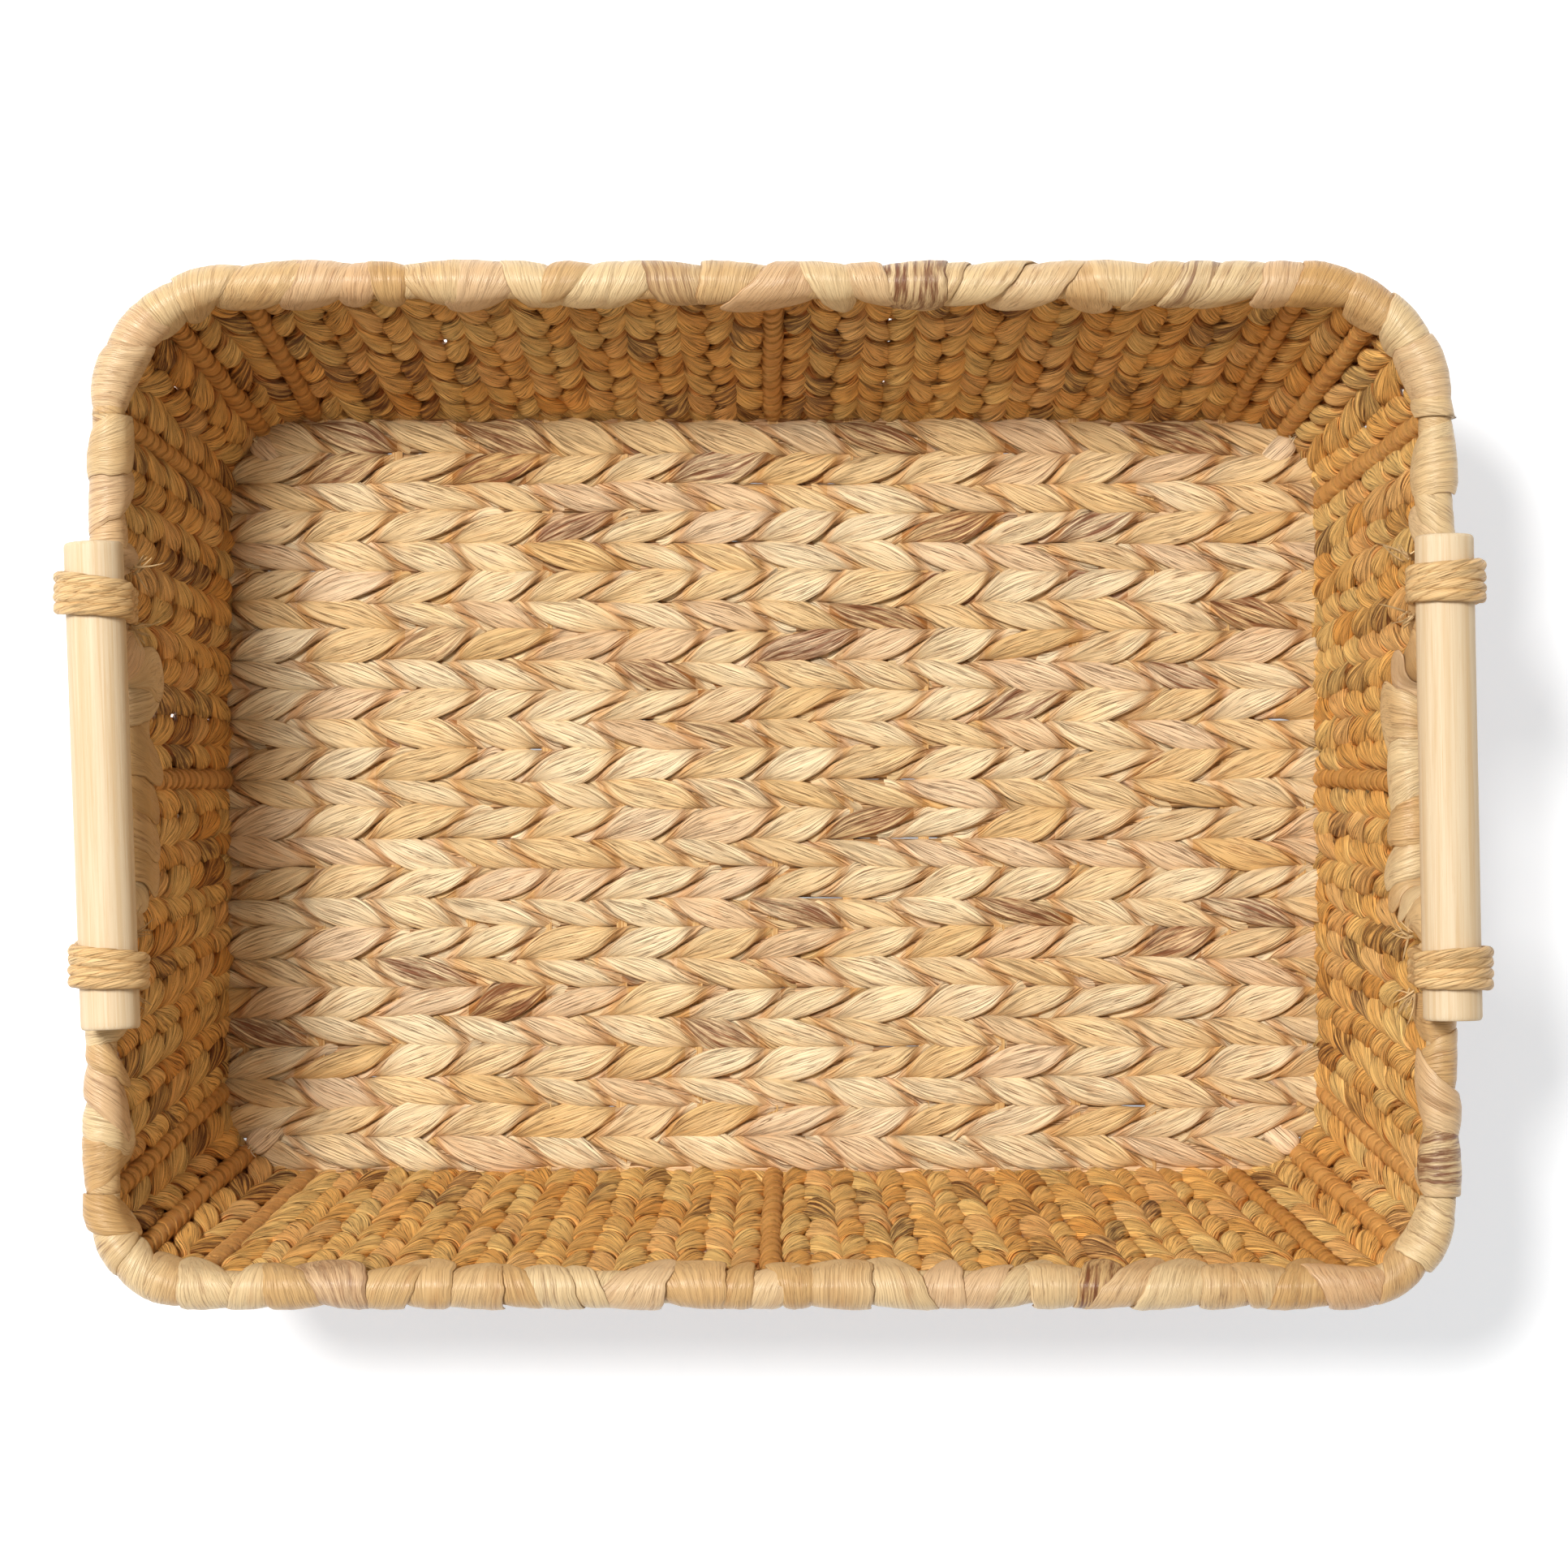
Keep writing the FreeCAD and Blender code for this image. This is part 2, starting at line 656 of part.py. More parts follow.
def build():
    """Makes every sub-part and gives back the ones that are nodes, by name."""
    fill_sheet()
    nodes = {}

    stretches = rim_edges()
    whole_rim = [edge for stretch in stretches.values() for edge in stretch]
    nodes["rim_wire"] = solid_feature("rim_wire", tube(whole_rim, size("rim_wire_radius")))
    nodes["base_wire"] = solid_feature("base_wire", base_wire_shape())
    rim_solids = {
        name: solid_feature(f"rim_{name}_solid", tube(edges, size("rim_wrap_radius")))
        for name, edges in stretches.items()
    }

    wire_level = size("base_wire_level")
    wires, wraps = [], {}
    for name, lines in upright_lines().items():
        wraps[name] = []
        for number, (foot, top) in enumerate(lines, start=1):
            core = f"{name}_core_{number}"
            wires.append(upright_bar(core, foot, top, "upright_wire_radius", wire_level))
            sleeve = f"{name}_sleeve_{number}"
            wraps[name].append(upright_bar(sleeve, foot, top, "upright_wrap_radius", wire_level))
    wire_cores = compound("upright_cores", wires)
    ring_wires = compound("ring_wires", [nodes["rim_wire"], nodes["base_wire"]])
    nodes["upright_wires"] = cut("upright_wires", wire_cores, ring_wires)

    rim_solid = compound("rim_solid", list(rim_solids.values()))
    inside_wrap = compound("inside_wrap", [wire_cores, rim_solid, nodes["base_wire"]])
    for name, sleeves in wraps.items():
        nodes[name] = cut(name, compound(f"{name}_sleeves", sleeves), inside_wrap)
    inside_rim = compound("inside_rim", [nodes["rim_wire"], wire_cores])
    for name, solid in rim_solids.items():
        nodes[f"rim_wrap_{name}"] = cut(f"rim_wrap_{name}", solid, inside_rim)

    nodes["floor_stakes"] = floor_stakes()
    for index in range(int(size("row_count"))):
        row = floor_row(index, nodes["floor_stakes"])
        nodes[row.Name] = row

    outer_face = wall_loft("wall_outside", "+ Sizes.wall_thickness / 2")
    inner_face = wall_loft("wall_inside", "- Sizes.wall_thickness / 2")
    shell = cut("wall_shell", outer_face, inner_face)
    all_sleeves = [sleeve for sleeves in wraps.values() for sleeve in sleeves]
    dips = [solid_feature(f"dip_space_{side}", dip_space(side)) for side in ("left", "right")]
    tools = dips + all_sleeves + [rim_solid, nodes["base_wire"], nodes["floor_stakes"]]
    panels = cut("wall_panels", shell, compound("wall_tools", tools))
    for name, ranges in panel_sectors().items():
        nodes[name] = doc.addObject("Part::Common", name)
        nodes[name].Base = panels
        nodes[name].Tool = sector(f"{name}_sector", *ranges)

    for side in HANDLES:
        nodes[f"handle_{side}"] = handle(side)
    for name in LASHINGS:
        nodes[name] = lashing(name)
    doc.recompute()
    return nodes


def check(nodes):
    """Stops if any feature failed or any node is empty or not valid."""
    for feature in doc.Objects:
        if "Invalid" in feature.State or "Error" in feature.State:
            raise RuntimeError(f"{feature.Name} failed: {feature.State}")
    for name, node in nodes.items():
        if node.Shape.isNull() or not node.Shape.isValid() or not node.Shape.Solids:
            raise RuntimeError(f"{name} has no valid solid")


def export(nodes):
    """Writes each node's shape to its own file and prints its volume and number of solids."""
    os.makedirs("parts", exist_ok=True)
    for name, node in nodes.items():
        node.Label = name
        node.Shape.exportStep(os.path.join("parts", f"{name}.step"))
        box = node.Shape.BoundBox
        print(
            f"{name}: {len(node.Shape.Solids)} solids, {node.Shape.Volume / 1000:.1f} cm3, "
            f"x {box.XMin:.1f}..{box.XMax:.1f} y {box.YMin:.1f}..{box.YMax:.1f} "
            f"z {box.ZMin:.1f}..{box.ZMax:.1f}"
        )


basket_nodes = build()
check(basket_nodes)
export(basket_nodes)
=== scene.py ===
import math

import bpy
import numpy as np
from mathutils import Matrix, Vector


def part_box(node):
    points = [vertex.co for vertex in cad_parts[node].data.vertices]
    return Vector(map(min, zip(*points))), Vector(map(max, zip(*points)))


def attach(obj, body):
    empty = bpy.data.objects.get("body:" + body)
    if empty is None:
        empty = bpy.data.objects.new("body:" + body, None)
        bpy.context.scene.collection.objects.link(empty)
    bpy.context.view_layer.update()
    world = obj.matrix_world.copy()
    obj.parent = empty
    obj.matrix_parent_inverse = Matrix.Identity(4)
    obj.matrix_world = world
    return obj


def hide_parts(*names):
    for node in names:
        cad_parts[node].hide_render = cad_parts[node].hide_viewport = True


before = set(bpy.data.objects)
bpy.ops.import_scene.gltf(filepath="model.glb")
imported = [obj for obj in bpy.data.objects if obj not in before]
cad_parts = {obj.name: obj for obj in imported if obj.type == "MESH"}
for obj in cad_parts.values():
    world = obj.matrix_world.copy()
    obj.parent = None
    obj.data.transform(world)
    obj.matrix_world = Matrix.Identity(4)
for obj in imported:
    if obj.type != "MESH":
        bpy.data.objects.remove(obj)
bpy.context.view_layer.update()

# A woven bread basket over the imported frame. Shapes are worked out in millimetres, in the frame's
# own axes, and turned into metres when a piece's mesh is made.
MM = 0.001
SEED = 20

# Twisted strand pairs. pitch is the length of one lobe; sway and rise are how far a strand swings
# sideways and out of the weave; width and thickness are half sizes of a strand's section.
# pinch and squeeze are the width and thickness where a strand dives, as shares of the full ones.
# upper is the share of each turn that a strand spends on the upper side. drift is how unevenly
# the lobes are spaced, in radians.
FLOOR_TWIST = {
    "pitch": 22.96, "sway": 2.75, "rise": 1.9, "width": 4.75, "thickness": 1.9, "pinch": 0.42,
    "squeeze": 1.1, "upper": 0.61, "drift": 0.34,
}
WALL_TWIST = {
    "pitch": 17.2, "sway": 3.1, "rise": 1.8, "width": 4.4, "thickness": 2.2, "pinch": 0.36,
    "squeeze": 0.85, "upper": 0.61, "drift": 0.35,
}
LEVER = 0.55  # how much a strand's flat side turns with the twist
LOBE_BULK = (0.78, 1.22)  # each lobe's width, as a share of the usual one
LOBE_ASIDE = (-0.6, 0.6)  # how far each lobe lies to the side of its place
LOBE_LIFT = (-0.4, 0.4)  # how far each lobe lies out of its place
LOWEST = 0.1  # the level under which no twisted strand goes
FIBRE_START = 4000.0  # fibre coordinates start at a random place up to this, in millimetres

# Half width and half thickness of the flat strips that close the gaps in the weave. They are
# painted dark all over, as painted shade, where they show between the lobes.
ROW_CORE = (4.7, 0.7)
FOOT_SEAL = (2.8, 0.7)
COLUMN_CORE = (3.95, 0.8)
ROD_BACKING = (4.8, 0.6)

# The dip in the rim, as the frame has it
DIP_HALF_WIDTH = 42.5
DIP_BEND = 7.0
DIP_SLOPE = math.radians(80.0)


# ---------------------------------------------------------------- places read from the frame

def box_mm(node):
    """Lowest and highest corner of a CAD node in millimetres."""
    low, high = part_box(node)
    return np.array(low) / MM, np.array(high) / MM


def read_walls():
    """The sizes of the walls' middle surface, at the foot and at the rim."""
    low, high = box_mm("rim_wrap_back")
    wrap_radius = (high[2] - low[2]) / 2
    rim_level = (high[2] + low[2]) / 2
    rim_half_length, rim_half_width = high[0] - wrap_radius, high[1] - wrap_radius
    side_low, side_high = box_mm("rim_wrap_left")
    wire_low, wire_high = box_mm("base_wire")
    wire_radius = (wire_high[2] - wire_low[2]) / 2
    wire_level = (wire_high[2] + wire_low[2]) / 2
    share = wire_level / rim_level
    foot_half_length = (wire_high[0] - wire_radius - rim_half_length * share) / (1 - share)
    foot_half_width = (wire_high[1] - wire_radius - rim_half_width * share) / (1 - share)
    corner_end = box_mm("corner_weave_back_left")[1][0]
    foot_corner = foot_half_length + corner_end
    dip_level = side_low[2] + wrap_radius
    return {
        "rim_level": rim_level,
        "wrap_radius": wrap_radius,
        "dip_depth": rim_level - dip_level,
        "foot": (foot_half_length, foot_half_width, foot_corner, foot_corner),
        "rim": (
            rim_half_length,
            rim_half_width,
            rim_half_width - side_high[1],
            rim_half_width + side_low[1],
        ),
    }


WALLS = read_walls()

# The stretches of the walls, clockwise from above, which is left to right as seen from inside
STRETCHES = ("back", "back_right", "right", "front_right", "front", "front_left", "left", "back_left")


# How far the short walls lean out for each millimetre up
LEAN = (WALLS["rim"][0] - WALLS["foot"][0]) / WALLS["rim_level"]

# The direction, in degrees, in which each corner starts
CORNER_STARTS = {"back_right": 90.0, "front_right": 0.0, "front_left": -90.0, "back_left": 180.0}


def outline_point(ring, stretch, share):
    """Points of one outline, at shares from 0 to 1 along a stretch. An array of x and y."""
    half_length, half_width, back_corner, front_corner = ring
    share = np.asarray(share, float)
    back_x, front_x = half_length - back_corner, half_length - front_corner
    back_y, front_y = half_width - back_corner, -(half_width - front_corner)
    straights = {
        "back": ((-back_x, half_width), (back_x, half_width)),
        "right": ((half_length, back_y), (half_length, front_y)),
        "front": ((front_x, -half_width), (-front_x, -half_width)),
        "left": ((-half_length, front_y), (-half_length, back_y)),
    }
    if stretch in straights:
        start, end = (np.array(p) for p in straights[stretch])
        return start + (end - start) * share[..., None]
    centres = {
        "back_right": (back_x, back_y),
        "front_right": (front_x, front_y),
        "front_left": (-front_x, front_y),
        "back_left": (-back_x, back_y),
    }
    centre = centres[stretch]
    radius = back_corner if stretch.startswith("back") else front_corner
    angle = np.radians(CORNER_STARTS[stretch] - 90.0 * share)
    return np.array(centre) + radius * np.stack([np.cos(angle), np.sin(angle)], -1)


def wall_frame(stretch, share, levels):
    """Points up the wall at these levels, with the directions across it and in from it."""
    foot = np.append(outline_point(WALLS["foot"], stretch, share), 0.0)
    rim = np.append(outline_point(WALLS["rim"], stretch, share), WALLS["rim_level"])
    step = 0.01
    ahead = outline_point(WALLS["rim"], stretch, share + step)
    behind = outline_point(WALLS["rim"], stretch, share - step)
    across = unit(np.append(ahead - behind, 0.0))
    upward = unit(rim - foot)
    inward = np.cross(across, upward)
    points = foot + (rim - foot) * (np.asarray(levels) / WALLS["rim_level"])[:, None]
    return points, across, inward, upward


def unit(vectors):
    """Vectors, or one vector, scaled to length 1."""
    vectors = np.asarray(vectors, float)
    return vectors / np.maximum(np.linalg.norm(vectors, axis=-1, keepdims=True), 1e-9)


def run_along(points):
    """How far along a polyline each of its points is."""
    steps = np.linalg.norm(np.diff(points, axis=0), axis=1)
    return np.concatenate([[0.0], np.cumsum(steps)])


def rings_round(points, across, out, wide, high):
    """A grid of points round a path: wide and high are the offsets across it and out of it."""
    return points[:, None, :] + wide[..., None] * across[:, None, :] + high[..., None] * out[:, None, :]


def fibre_places(start, along, side, depth, shape):
    """Fibre coordinates for a grid: along the fibres, to their side and into the strand."""
    fibre = np.empty(shape)
    for axis, places in enumerate((along, side, depth)):
        fibre[..., axis] = start[axis] + places
    return fibre


def dip_outline(spacing):
    """The rim's dip as rows of along and down, from its edge to its other edge, evenly spaced."""
    depth = WALLS["dip_depth"] * math.hypot(1.0, LEAN)
    turn_down = DIP_BEND * (1 - math.cos(DIP_SLOPE))
    ramp = (depth - 2 * turn_down) / math.sin(DIP_SLOPE)
    bends = np.linspace(0.0, DIP_SLOPE, 12)
    first = np.stack([DIP_BEND * np.sin(bends), DIP_BEND * (1 - np.cos(bends))], -1)
    ramp_end = first[-1] + ramp * np.array([math.cos(DIP_SLOPE), math.sin(DIP_SLOPE)])
    second = ramp_end + (first[-1] - first[::-1])
    half = np.concatenate([first, second])
    other = half[::-1] * [-1, 1] + [2 * DIP_HALF_WIDTH, 0]
    return evenly(np.concatenate([half, other]), spacing)


def evenly(points, spacing):
    """A polyline's points spread again at even spacing."""
    steps = np.linalg.norm(np.diff(points, axis=0), axis=1)
    keep = np.concatenate([[True], steps > 1e-6])
    points = points[keep]
    length = run_along(points)
    places = np.linspace(0.0, length[-1], max(3, int(round(length[-1] / spacing)) + 1))
    return np.stack([np.interp(places, length, points[:, k]) for k in range(points.shape[1])], -1)


def rim_drop(y):
    """How far the rim is below its level at these places along a short side."""
    along, down = dip_outline(0.5).T
    return np.interp(y, DIP_HALF_WIDTH - along[::-1], down[::-1] / math.hypot(1.0, LEAN), 0.0, 0.0)


def rim_path(spacing=1.0):
    """The rim's middle line all the way round: points, and the directions out of the basket."""
    points, outward = [], []
    level = WALLS["rim_level"]
    for stretch in STRETCHES:
        ends = outline_point(WALLS["rim"], stretch, [0.0, 0.5, 1.0])
        reach = np.linalg.norm(np.diff(ends, axis=0), axis=1).sum()
        share = np.linspace(0.0, 1.0, int(reach * 1.1 / spacing) + 2)[:-1]
        flat = outline_point(WALLS["rim"], stretch, share)
        line = np.column_stack([flat, np.full(len(flat), level)])
        if stretch in ("left", "right"):
            sign = 1.0 if stretch == "right" else -1.0
            along, down = dip_outline(spacing).T
            drop = down / math.hypot(1.0, LEAN)
            dip_y = DIP_HALF_WIDTH - along
            dip = np.column_stack([sign * (WALLS["rim"][0] - LEAN * drop), dip_y, level - drop])
            dip = dip if stretch == "right" else dip[::-1]
            before = line[np.abs(line[:, 1]) > DIP_HALF_WIDTH]
            half = np.argmax(np.abs(np.diff(before[:, 1]))) + 1
            line = np.concatenate([before[:half], dip, before[half:]])
        points.append(line)
        side = {"back": (0, 1), "right": (1, 0), "front": (0, -1), "left": (-1, 0)}
        if stretch in side:
            normal = np.tile(np.append(side[stretch], 0.0), (len(line), 1))
        else:
            angle = np.radians(CORNER_STARTS[stretch] - 90.0 * share)
            normal = np.column_stack([np.cos(angle), np.sin(angle), np.zeros(len(angle))])
        outward.append(normal)
    return np.concatenate(points), np.concatenate(outward)


# ---------------------------------------------------------------- mesh making

class Weave:
    """Collects strands into one mesh, with the attributes that the fibre material reads."""

    def __init__(self):
        self.points, self.quads = [], []
        self.values = {"fibre": [], "lobe": [], "wear": []}
        self.count = 0

    def add_grid(self, grid, **values):
        """A tube from a grid of points: rows run along it and columns go round it."""
        rows, columns = grid.shape[:2]
        index = self.count + np.arange(rows * columns).reshape(rows, columns)
        following = np.roll(index, -1, axis=1)
        corners = [index[:-1], following[:-1], following[1:], index[1:]]
        faces = np.stack(corners, -1).reshape(-1, 4)
        self.points.append(grid.reshape(-1, 3))
        self.quads.append(faces)
        for name, value in values.items():
            self.values[name].append(value.reshape(rows * columns, -1))
        self.count += rows * columns
        for end, far in ((0, False), (-1, True)):
            ends = {name: value[end] for name, value in values.items()}
            self.add_cap(grid[end], index[end], far, ends)

    def add_cap(self, ring, index, far, values):
        """Closes a tube's end with quads to a middle ring and a last quad fan."""
        middle = ring.mean(axis=0)
        inner = middle + (ring - middle) * 0.02
        inner_index = self.count + np.arange(len(ring))
        self.points.append(inner)
        for name, value in values.items():
            self.values[name].append(value.reshape(len(ring), -1))
        self.count += len(ring)
        pairs = [index, np.roll(index, -1), np.roll(inner_index, -1), inner_index]
        if not far:
            pairs = pairs[::-1]
        self.quads.append(np.stack(pairs, -1))
        half = len(ring) // 2
        left, right = inner_index[:half], inner_index[::-1][:half]
        fan = np.stack([left[:-1], left[1:], right[1:], right[:-1]], -1)
        self.quads.append(fan if far else fan[:, ::-1])

    def make(self, name, material, body, nodes=()):
        """Turns the strands into a piece that rides the body and stands for CAD nodes."""
        mesh = bpy.data.meshes.new(name)
        points = np.concatenate(self.points) * MM
        quads = np.concatenate(self.quads)
        mesh.vertices.add(len(points))
        mesh.vertices.foreach_set("co", points.astype(np.float32).ravel())
        mesh.loops.add(quads.size)
        mesh.loops.foreach_set("vertex_index", quads.astype(np.int32).ravel())
        mesh.polygons.add(len(quads))
        mesh.polygons.foreach_set("loop_start", np.arange(0, quads.size, 4, dtype=np.int32))
        mesh.polygons.foreach_set("use_smooth", np.ones(len(quads), bool))
        mesh.update(calc_edges=True)
        for key, kind, field in (
            ("fibre", "FLOAT_VECTOR", "vector"), ("lobe", "FLOAT_VECTOR", "vector"),
            ("wear", "FLOAT", "value"),
        ):
            attribute = mesh.attributes.new(key, kind, "POINT")
            values = np.concatenate(self.values[key]).astype(np.float32)
            attribute.data.foreach_set(field, values.ravel())
        mesh.materials.append(material)
        piece = bpy.data.objects.new(name, mesh)
        bpy.context.scene.collection.objects.link(piece)
        if nodes:
            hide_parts(*nodes)
        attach(piece, body)
        return piece


def wander(rng, places, wavelength, amount):
    """A smooth random curve along a strand."""
    curve = np.zeros_like(places)
    for octave, share in ((1.0, 0.6), (0.57, 0.3), (0.31, 0.2)):
        phase = rng.uniform(0, 2 * math.pi)
        curve += share * np.sin(2 * math.pi * places / (wavelength * octave) + phase)
    return amount * curve


def strand_grid(points, across, out, half_width, half_height, around, rng, ridge=0.12):
    """Rings of points round a strand with an oval section and shallow lengthwise ridges."""
    angle = np.linspace(0.0, 2 * math.pi, around, endpoint=False)
    cosine, sine = np.cos(angle), np.sin(angle)
    travel = run_along(points)
    relief = np.zeros((len(points), around))
    for waves in (3, 5, 7):
        drift = wander(rng, travel, 45.0, 0.8) + rng.uniform(0, 2 * math.pi)
        strength = ridge * (0.6 + 0.4 * np.sin(travel / 17.0 + drift))
        relief += (strength / waves**0.5)[:, None] * np.cos(waves * angle[None, :] + drift[:, None])
    scale = 1.0 + relief / np.maximum(half_height, 0.5)[:, None] * 0.7
    wide = (half_width[:, None] * scale) * cosine[None, :]
    high = (half_height[:, None] * scale) * sine[None, :]
    return rings_round(points, across, out, wide, high), travel, angle


def add_strand(
    weave, points, across, out, half_width, half_height, rng, around=20, ridge=0.12, wear=None,
    lobe=None, lowest=None
):
    """One strand with fibres along it. Its fibre coordinates start at a random place."""
    grid, travel, angle = strand_grid(
        points, across, out, half_width, half_height, around, rng, ridge
    )
    fibre = fibre_places(
        rng.uniform(0, FIBRE_START, 3), travel[:, None], np.max(half_width) * np.cos(angle),
        np.max(half_height) * np.sin(angle), grid.shape
    )
    if lowest is not None:
        grid[..., 2] = np.maximum(grid[..., 2], lowest)
    wear = np.zeros(len(points)) if wear is None else wear
    lobe = np.tile(rng.uniform(0, 1, 3), (len(points), 1)) if lobe is None else lobe
    # Painted shade: the strand's side edges, where it turns away under its neighbours, are marked
    # darker
    edges = 0.4 * np.abs(np.cos(angle)) ** 8
    weave.add_grid(
        grid,
        fibre=fibre,
        lobe=np.repeat(lobe[:, None, :], around, axis=1),
        wear=wear[:, None] + edges[None, :],
    )


def add_core(weave, points, across, out, half_sizes, rng):
    """A plain flat strip behind or inside the weave, marked fully as painted shade, so that it
    shows dark between the lobes like the shadow in the gaps.
    """
    half_width, half_height = (np.full(len(points), size) for size in half_sizes)
    add_strand(
        weave, points, across, out, half_width, half_height, rng, 8, 0.0, np.ones(len(points))
    )


def lobe_values(rng, phase, low, high):
    """A random value for each lobe, blended smoothly from one lobe to the next."""
    first = math.floor(phase.min() / math.pi) - 1
    last = math.ceil(phase.max() / math.pi) + 2
    values = rng.uniform(low, high, last - first)
    place = phase / math.pi - 0.5 - first
    whole = np.clip(np.floor(place).astype(int), 0, len(values) - 2)
    part = place - whole
    part = part * part * (3 - 2 * part)
    return values[whole] * (1 - part) + values[whole + 1] * part


def upper_turn(phase, upper):
    """The angle that a strand has turned, when it turns slower on the upper side than below."""
    whole = np.floor((phase - (0.5 - upper) * math.pi) / (2 * math.pi))
    part = (phase - (0.5 - upper) * math.pi) / (2 * math.pi) - whole
    above = part / upper
    below = 1 + (part - upper) / (1 - upper)
    return math.pi * (2 * whole + np.where(part < upper, above, below))


def lobe_looks(rng, phase):
    """Three random numbers for each half turn of a strand, for its tone, staining and hue."""
    half_turn = np.floor(phase / math.pi).astype(int)
    values = rng.uniform(0, 1, (half_turn.max() - half_turn.min() + 1, 3))
    return values[half_turn - half_turn.min()]


def add_twisted_pair(weave, points, across, out, twist, hand, rng, phase, taper, size, skew=0.0,
                     around=20, raised=(0.0, 0.0, 0.0)):
    """Two strands twisted round each other along a path. hand is 1 or -1 and sets the twist.

    taper is how far the strands narrow at each end. skew moves each lobe's widest place off its
    middle. raised is added to each lobe's random looks.
    """
    travel = run_along(points)
    phase = phase + wander(rng, travel, 3.2 * twist["pitch"], twist["drift"])
    ends = np.clip(np.minimum(travel, travel[-1] - travel) / taper, 0.0, 1.0)
    ends = np.sqrt(ends * (2 - ends))
    for ply in (0, 1):
        turn = upper_turn(phase + ply * math.pi, twist["upper"])
        bulk = lobe_values(rng, turn, *LOBE_BULK) * size
        aside = lobe_values(rng, turn, *LOBE_ASIDE)
        lift = lobe_values(rng, turn, *LOBE_LIFT)
        sine, cosine = np.sin(turn), np.cos(turn)
        # The strands cross in a line between a wave and a zigzag, and stay up between crossings
        swing = 0.55 * cosine + 0.45 * 2 / math.pi * np.arcsin(cosine)
        sway = twist["sway"] * size * hand * swing * (0.35 + 0.65 * ends) + aside
        rise = (twist["rise"] + lift) * sine / np.sqrt(sine**2 + 0.12) * (0.45 + 0.55 * ends)
        normal_across, normal_out = hand * LEVER * cosine, sine
        length = np.hypot(normal_across, normal_out)
        normal_across, normal_out = normal_across / length, normal_out / length
        centre = points + sway[:, None] * across + rise[:, None] * out
        face = normal_across[:, None] * across + normal_out[:, None] * out
        side = normal_out[:, None] * across - normal_across[:, None] * out
        belly = np.abs(sine) ** 0.75 * (1.0 + skew * cosine)
        pinch, squeeze = twist["pinch"], twist["squeeze"]
        half_width = twist["width"] * bulk * (pinch + (1 - pinch) * belly) * ends
        half_height = twist["thickness"] * (squeeze + (1 - squeeze) * np.abs(sine))
        half_height = half_height * (0.15 + 0.85 * ends)
        half_width = np.maximum(half_width, 0.12)
        # Painted shade: each strand is marked darker where it dives to cross the other, 1 - |sine|
        add_strand(
            weave, centre, side, face, half_width, half_height, rng, around, 0.13,
            1 - np.abs(sine), lobe_looks(rng, turn) + np.array(raised), LOWEST
        )


# ---------------------------------------------------------------- floor

# How far past its CAD bar each row's strands run, to tuck under the corners' weave
ROW_END_REACH = {1: 13.0, 2: 10.0, 3: 6.0}
USUAL_END_REACH = 4.5

# Painted shade for the back rows, near the back wall: how much their lobes' tone and staining
# values are raised, which makes them darker and browner
BACK_ROW_PAINTED_SHADE = {0: (0.8, 0.22, 0.0), 1: (0.5, 0.10, 0.0), 2: (0.3, 0.0, 0.0)}

# The flat strip that closes the slit between an outer row and the foot of the wall: how far it
# runs to each side, and how far outside the row's middle it lies
FOOT_SEAL_REACH = 148.0
FOOT_SEAL_ASIDE = 5.8

ROWS = 25
ROW_DIP, ROW_DIP_REACH = 1.0, 10.0  # how far a row's ends sink, and over what length
ROW_PHASE = 0.15 * math.pi  # puts the gaps between lobes over the stakes
STAKE_HALF_WIDTH = 1.6
OUTER_ROWS, STUB_ROWS = (1, ROWS), (2, ROWS - 1)
OUTER_SIZE, ODD_SIZE, EVEN_SIZE = 1.1, 0.95, 1.07


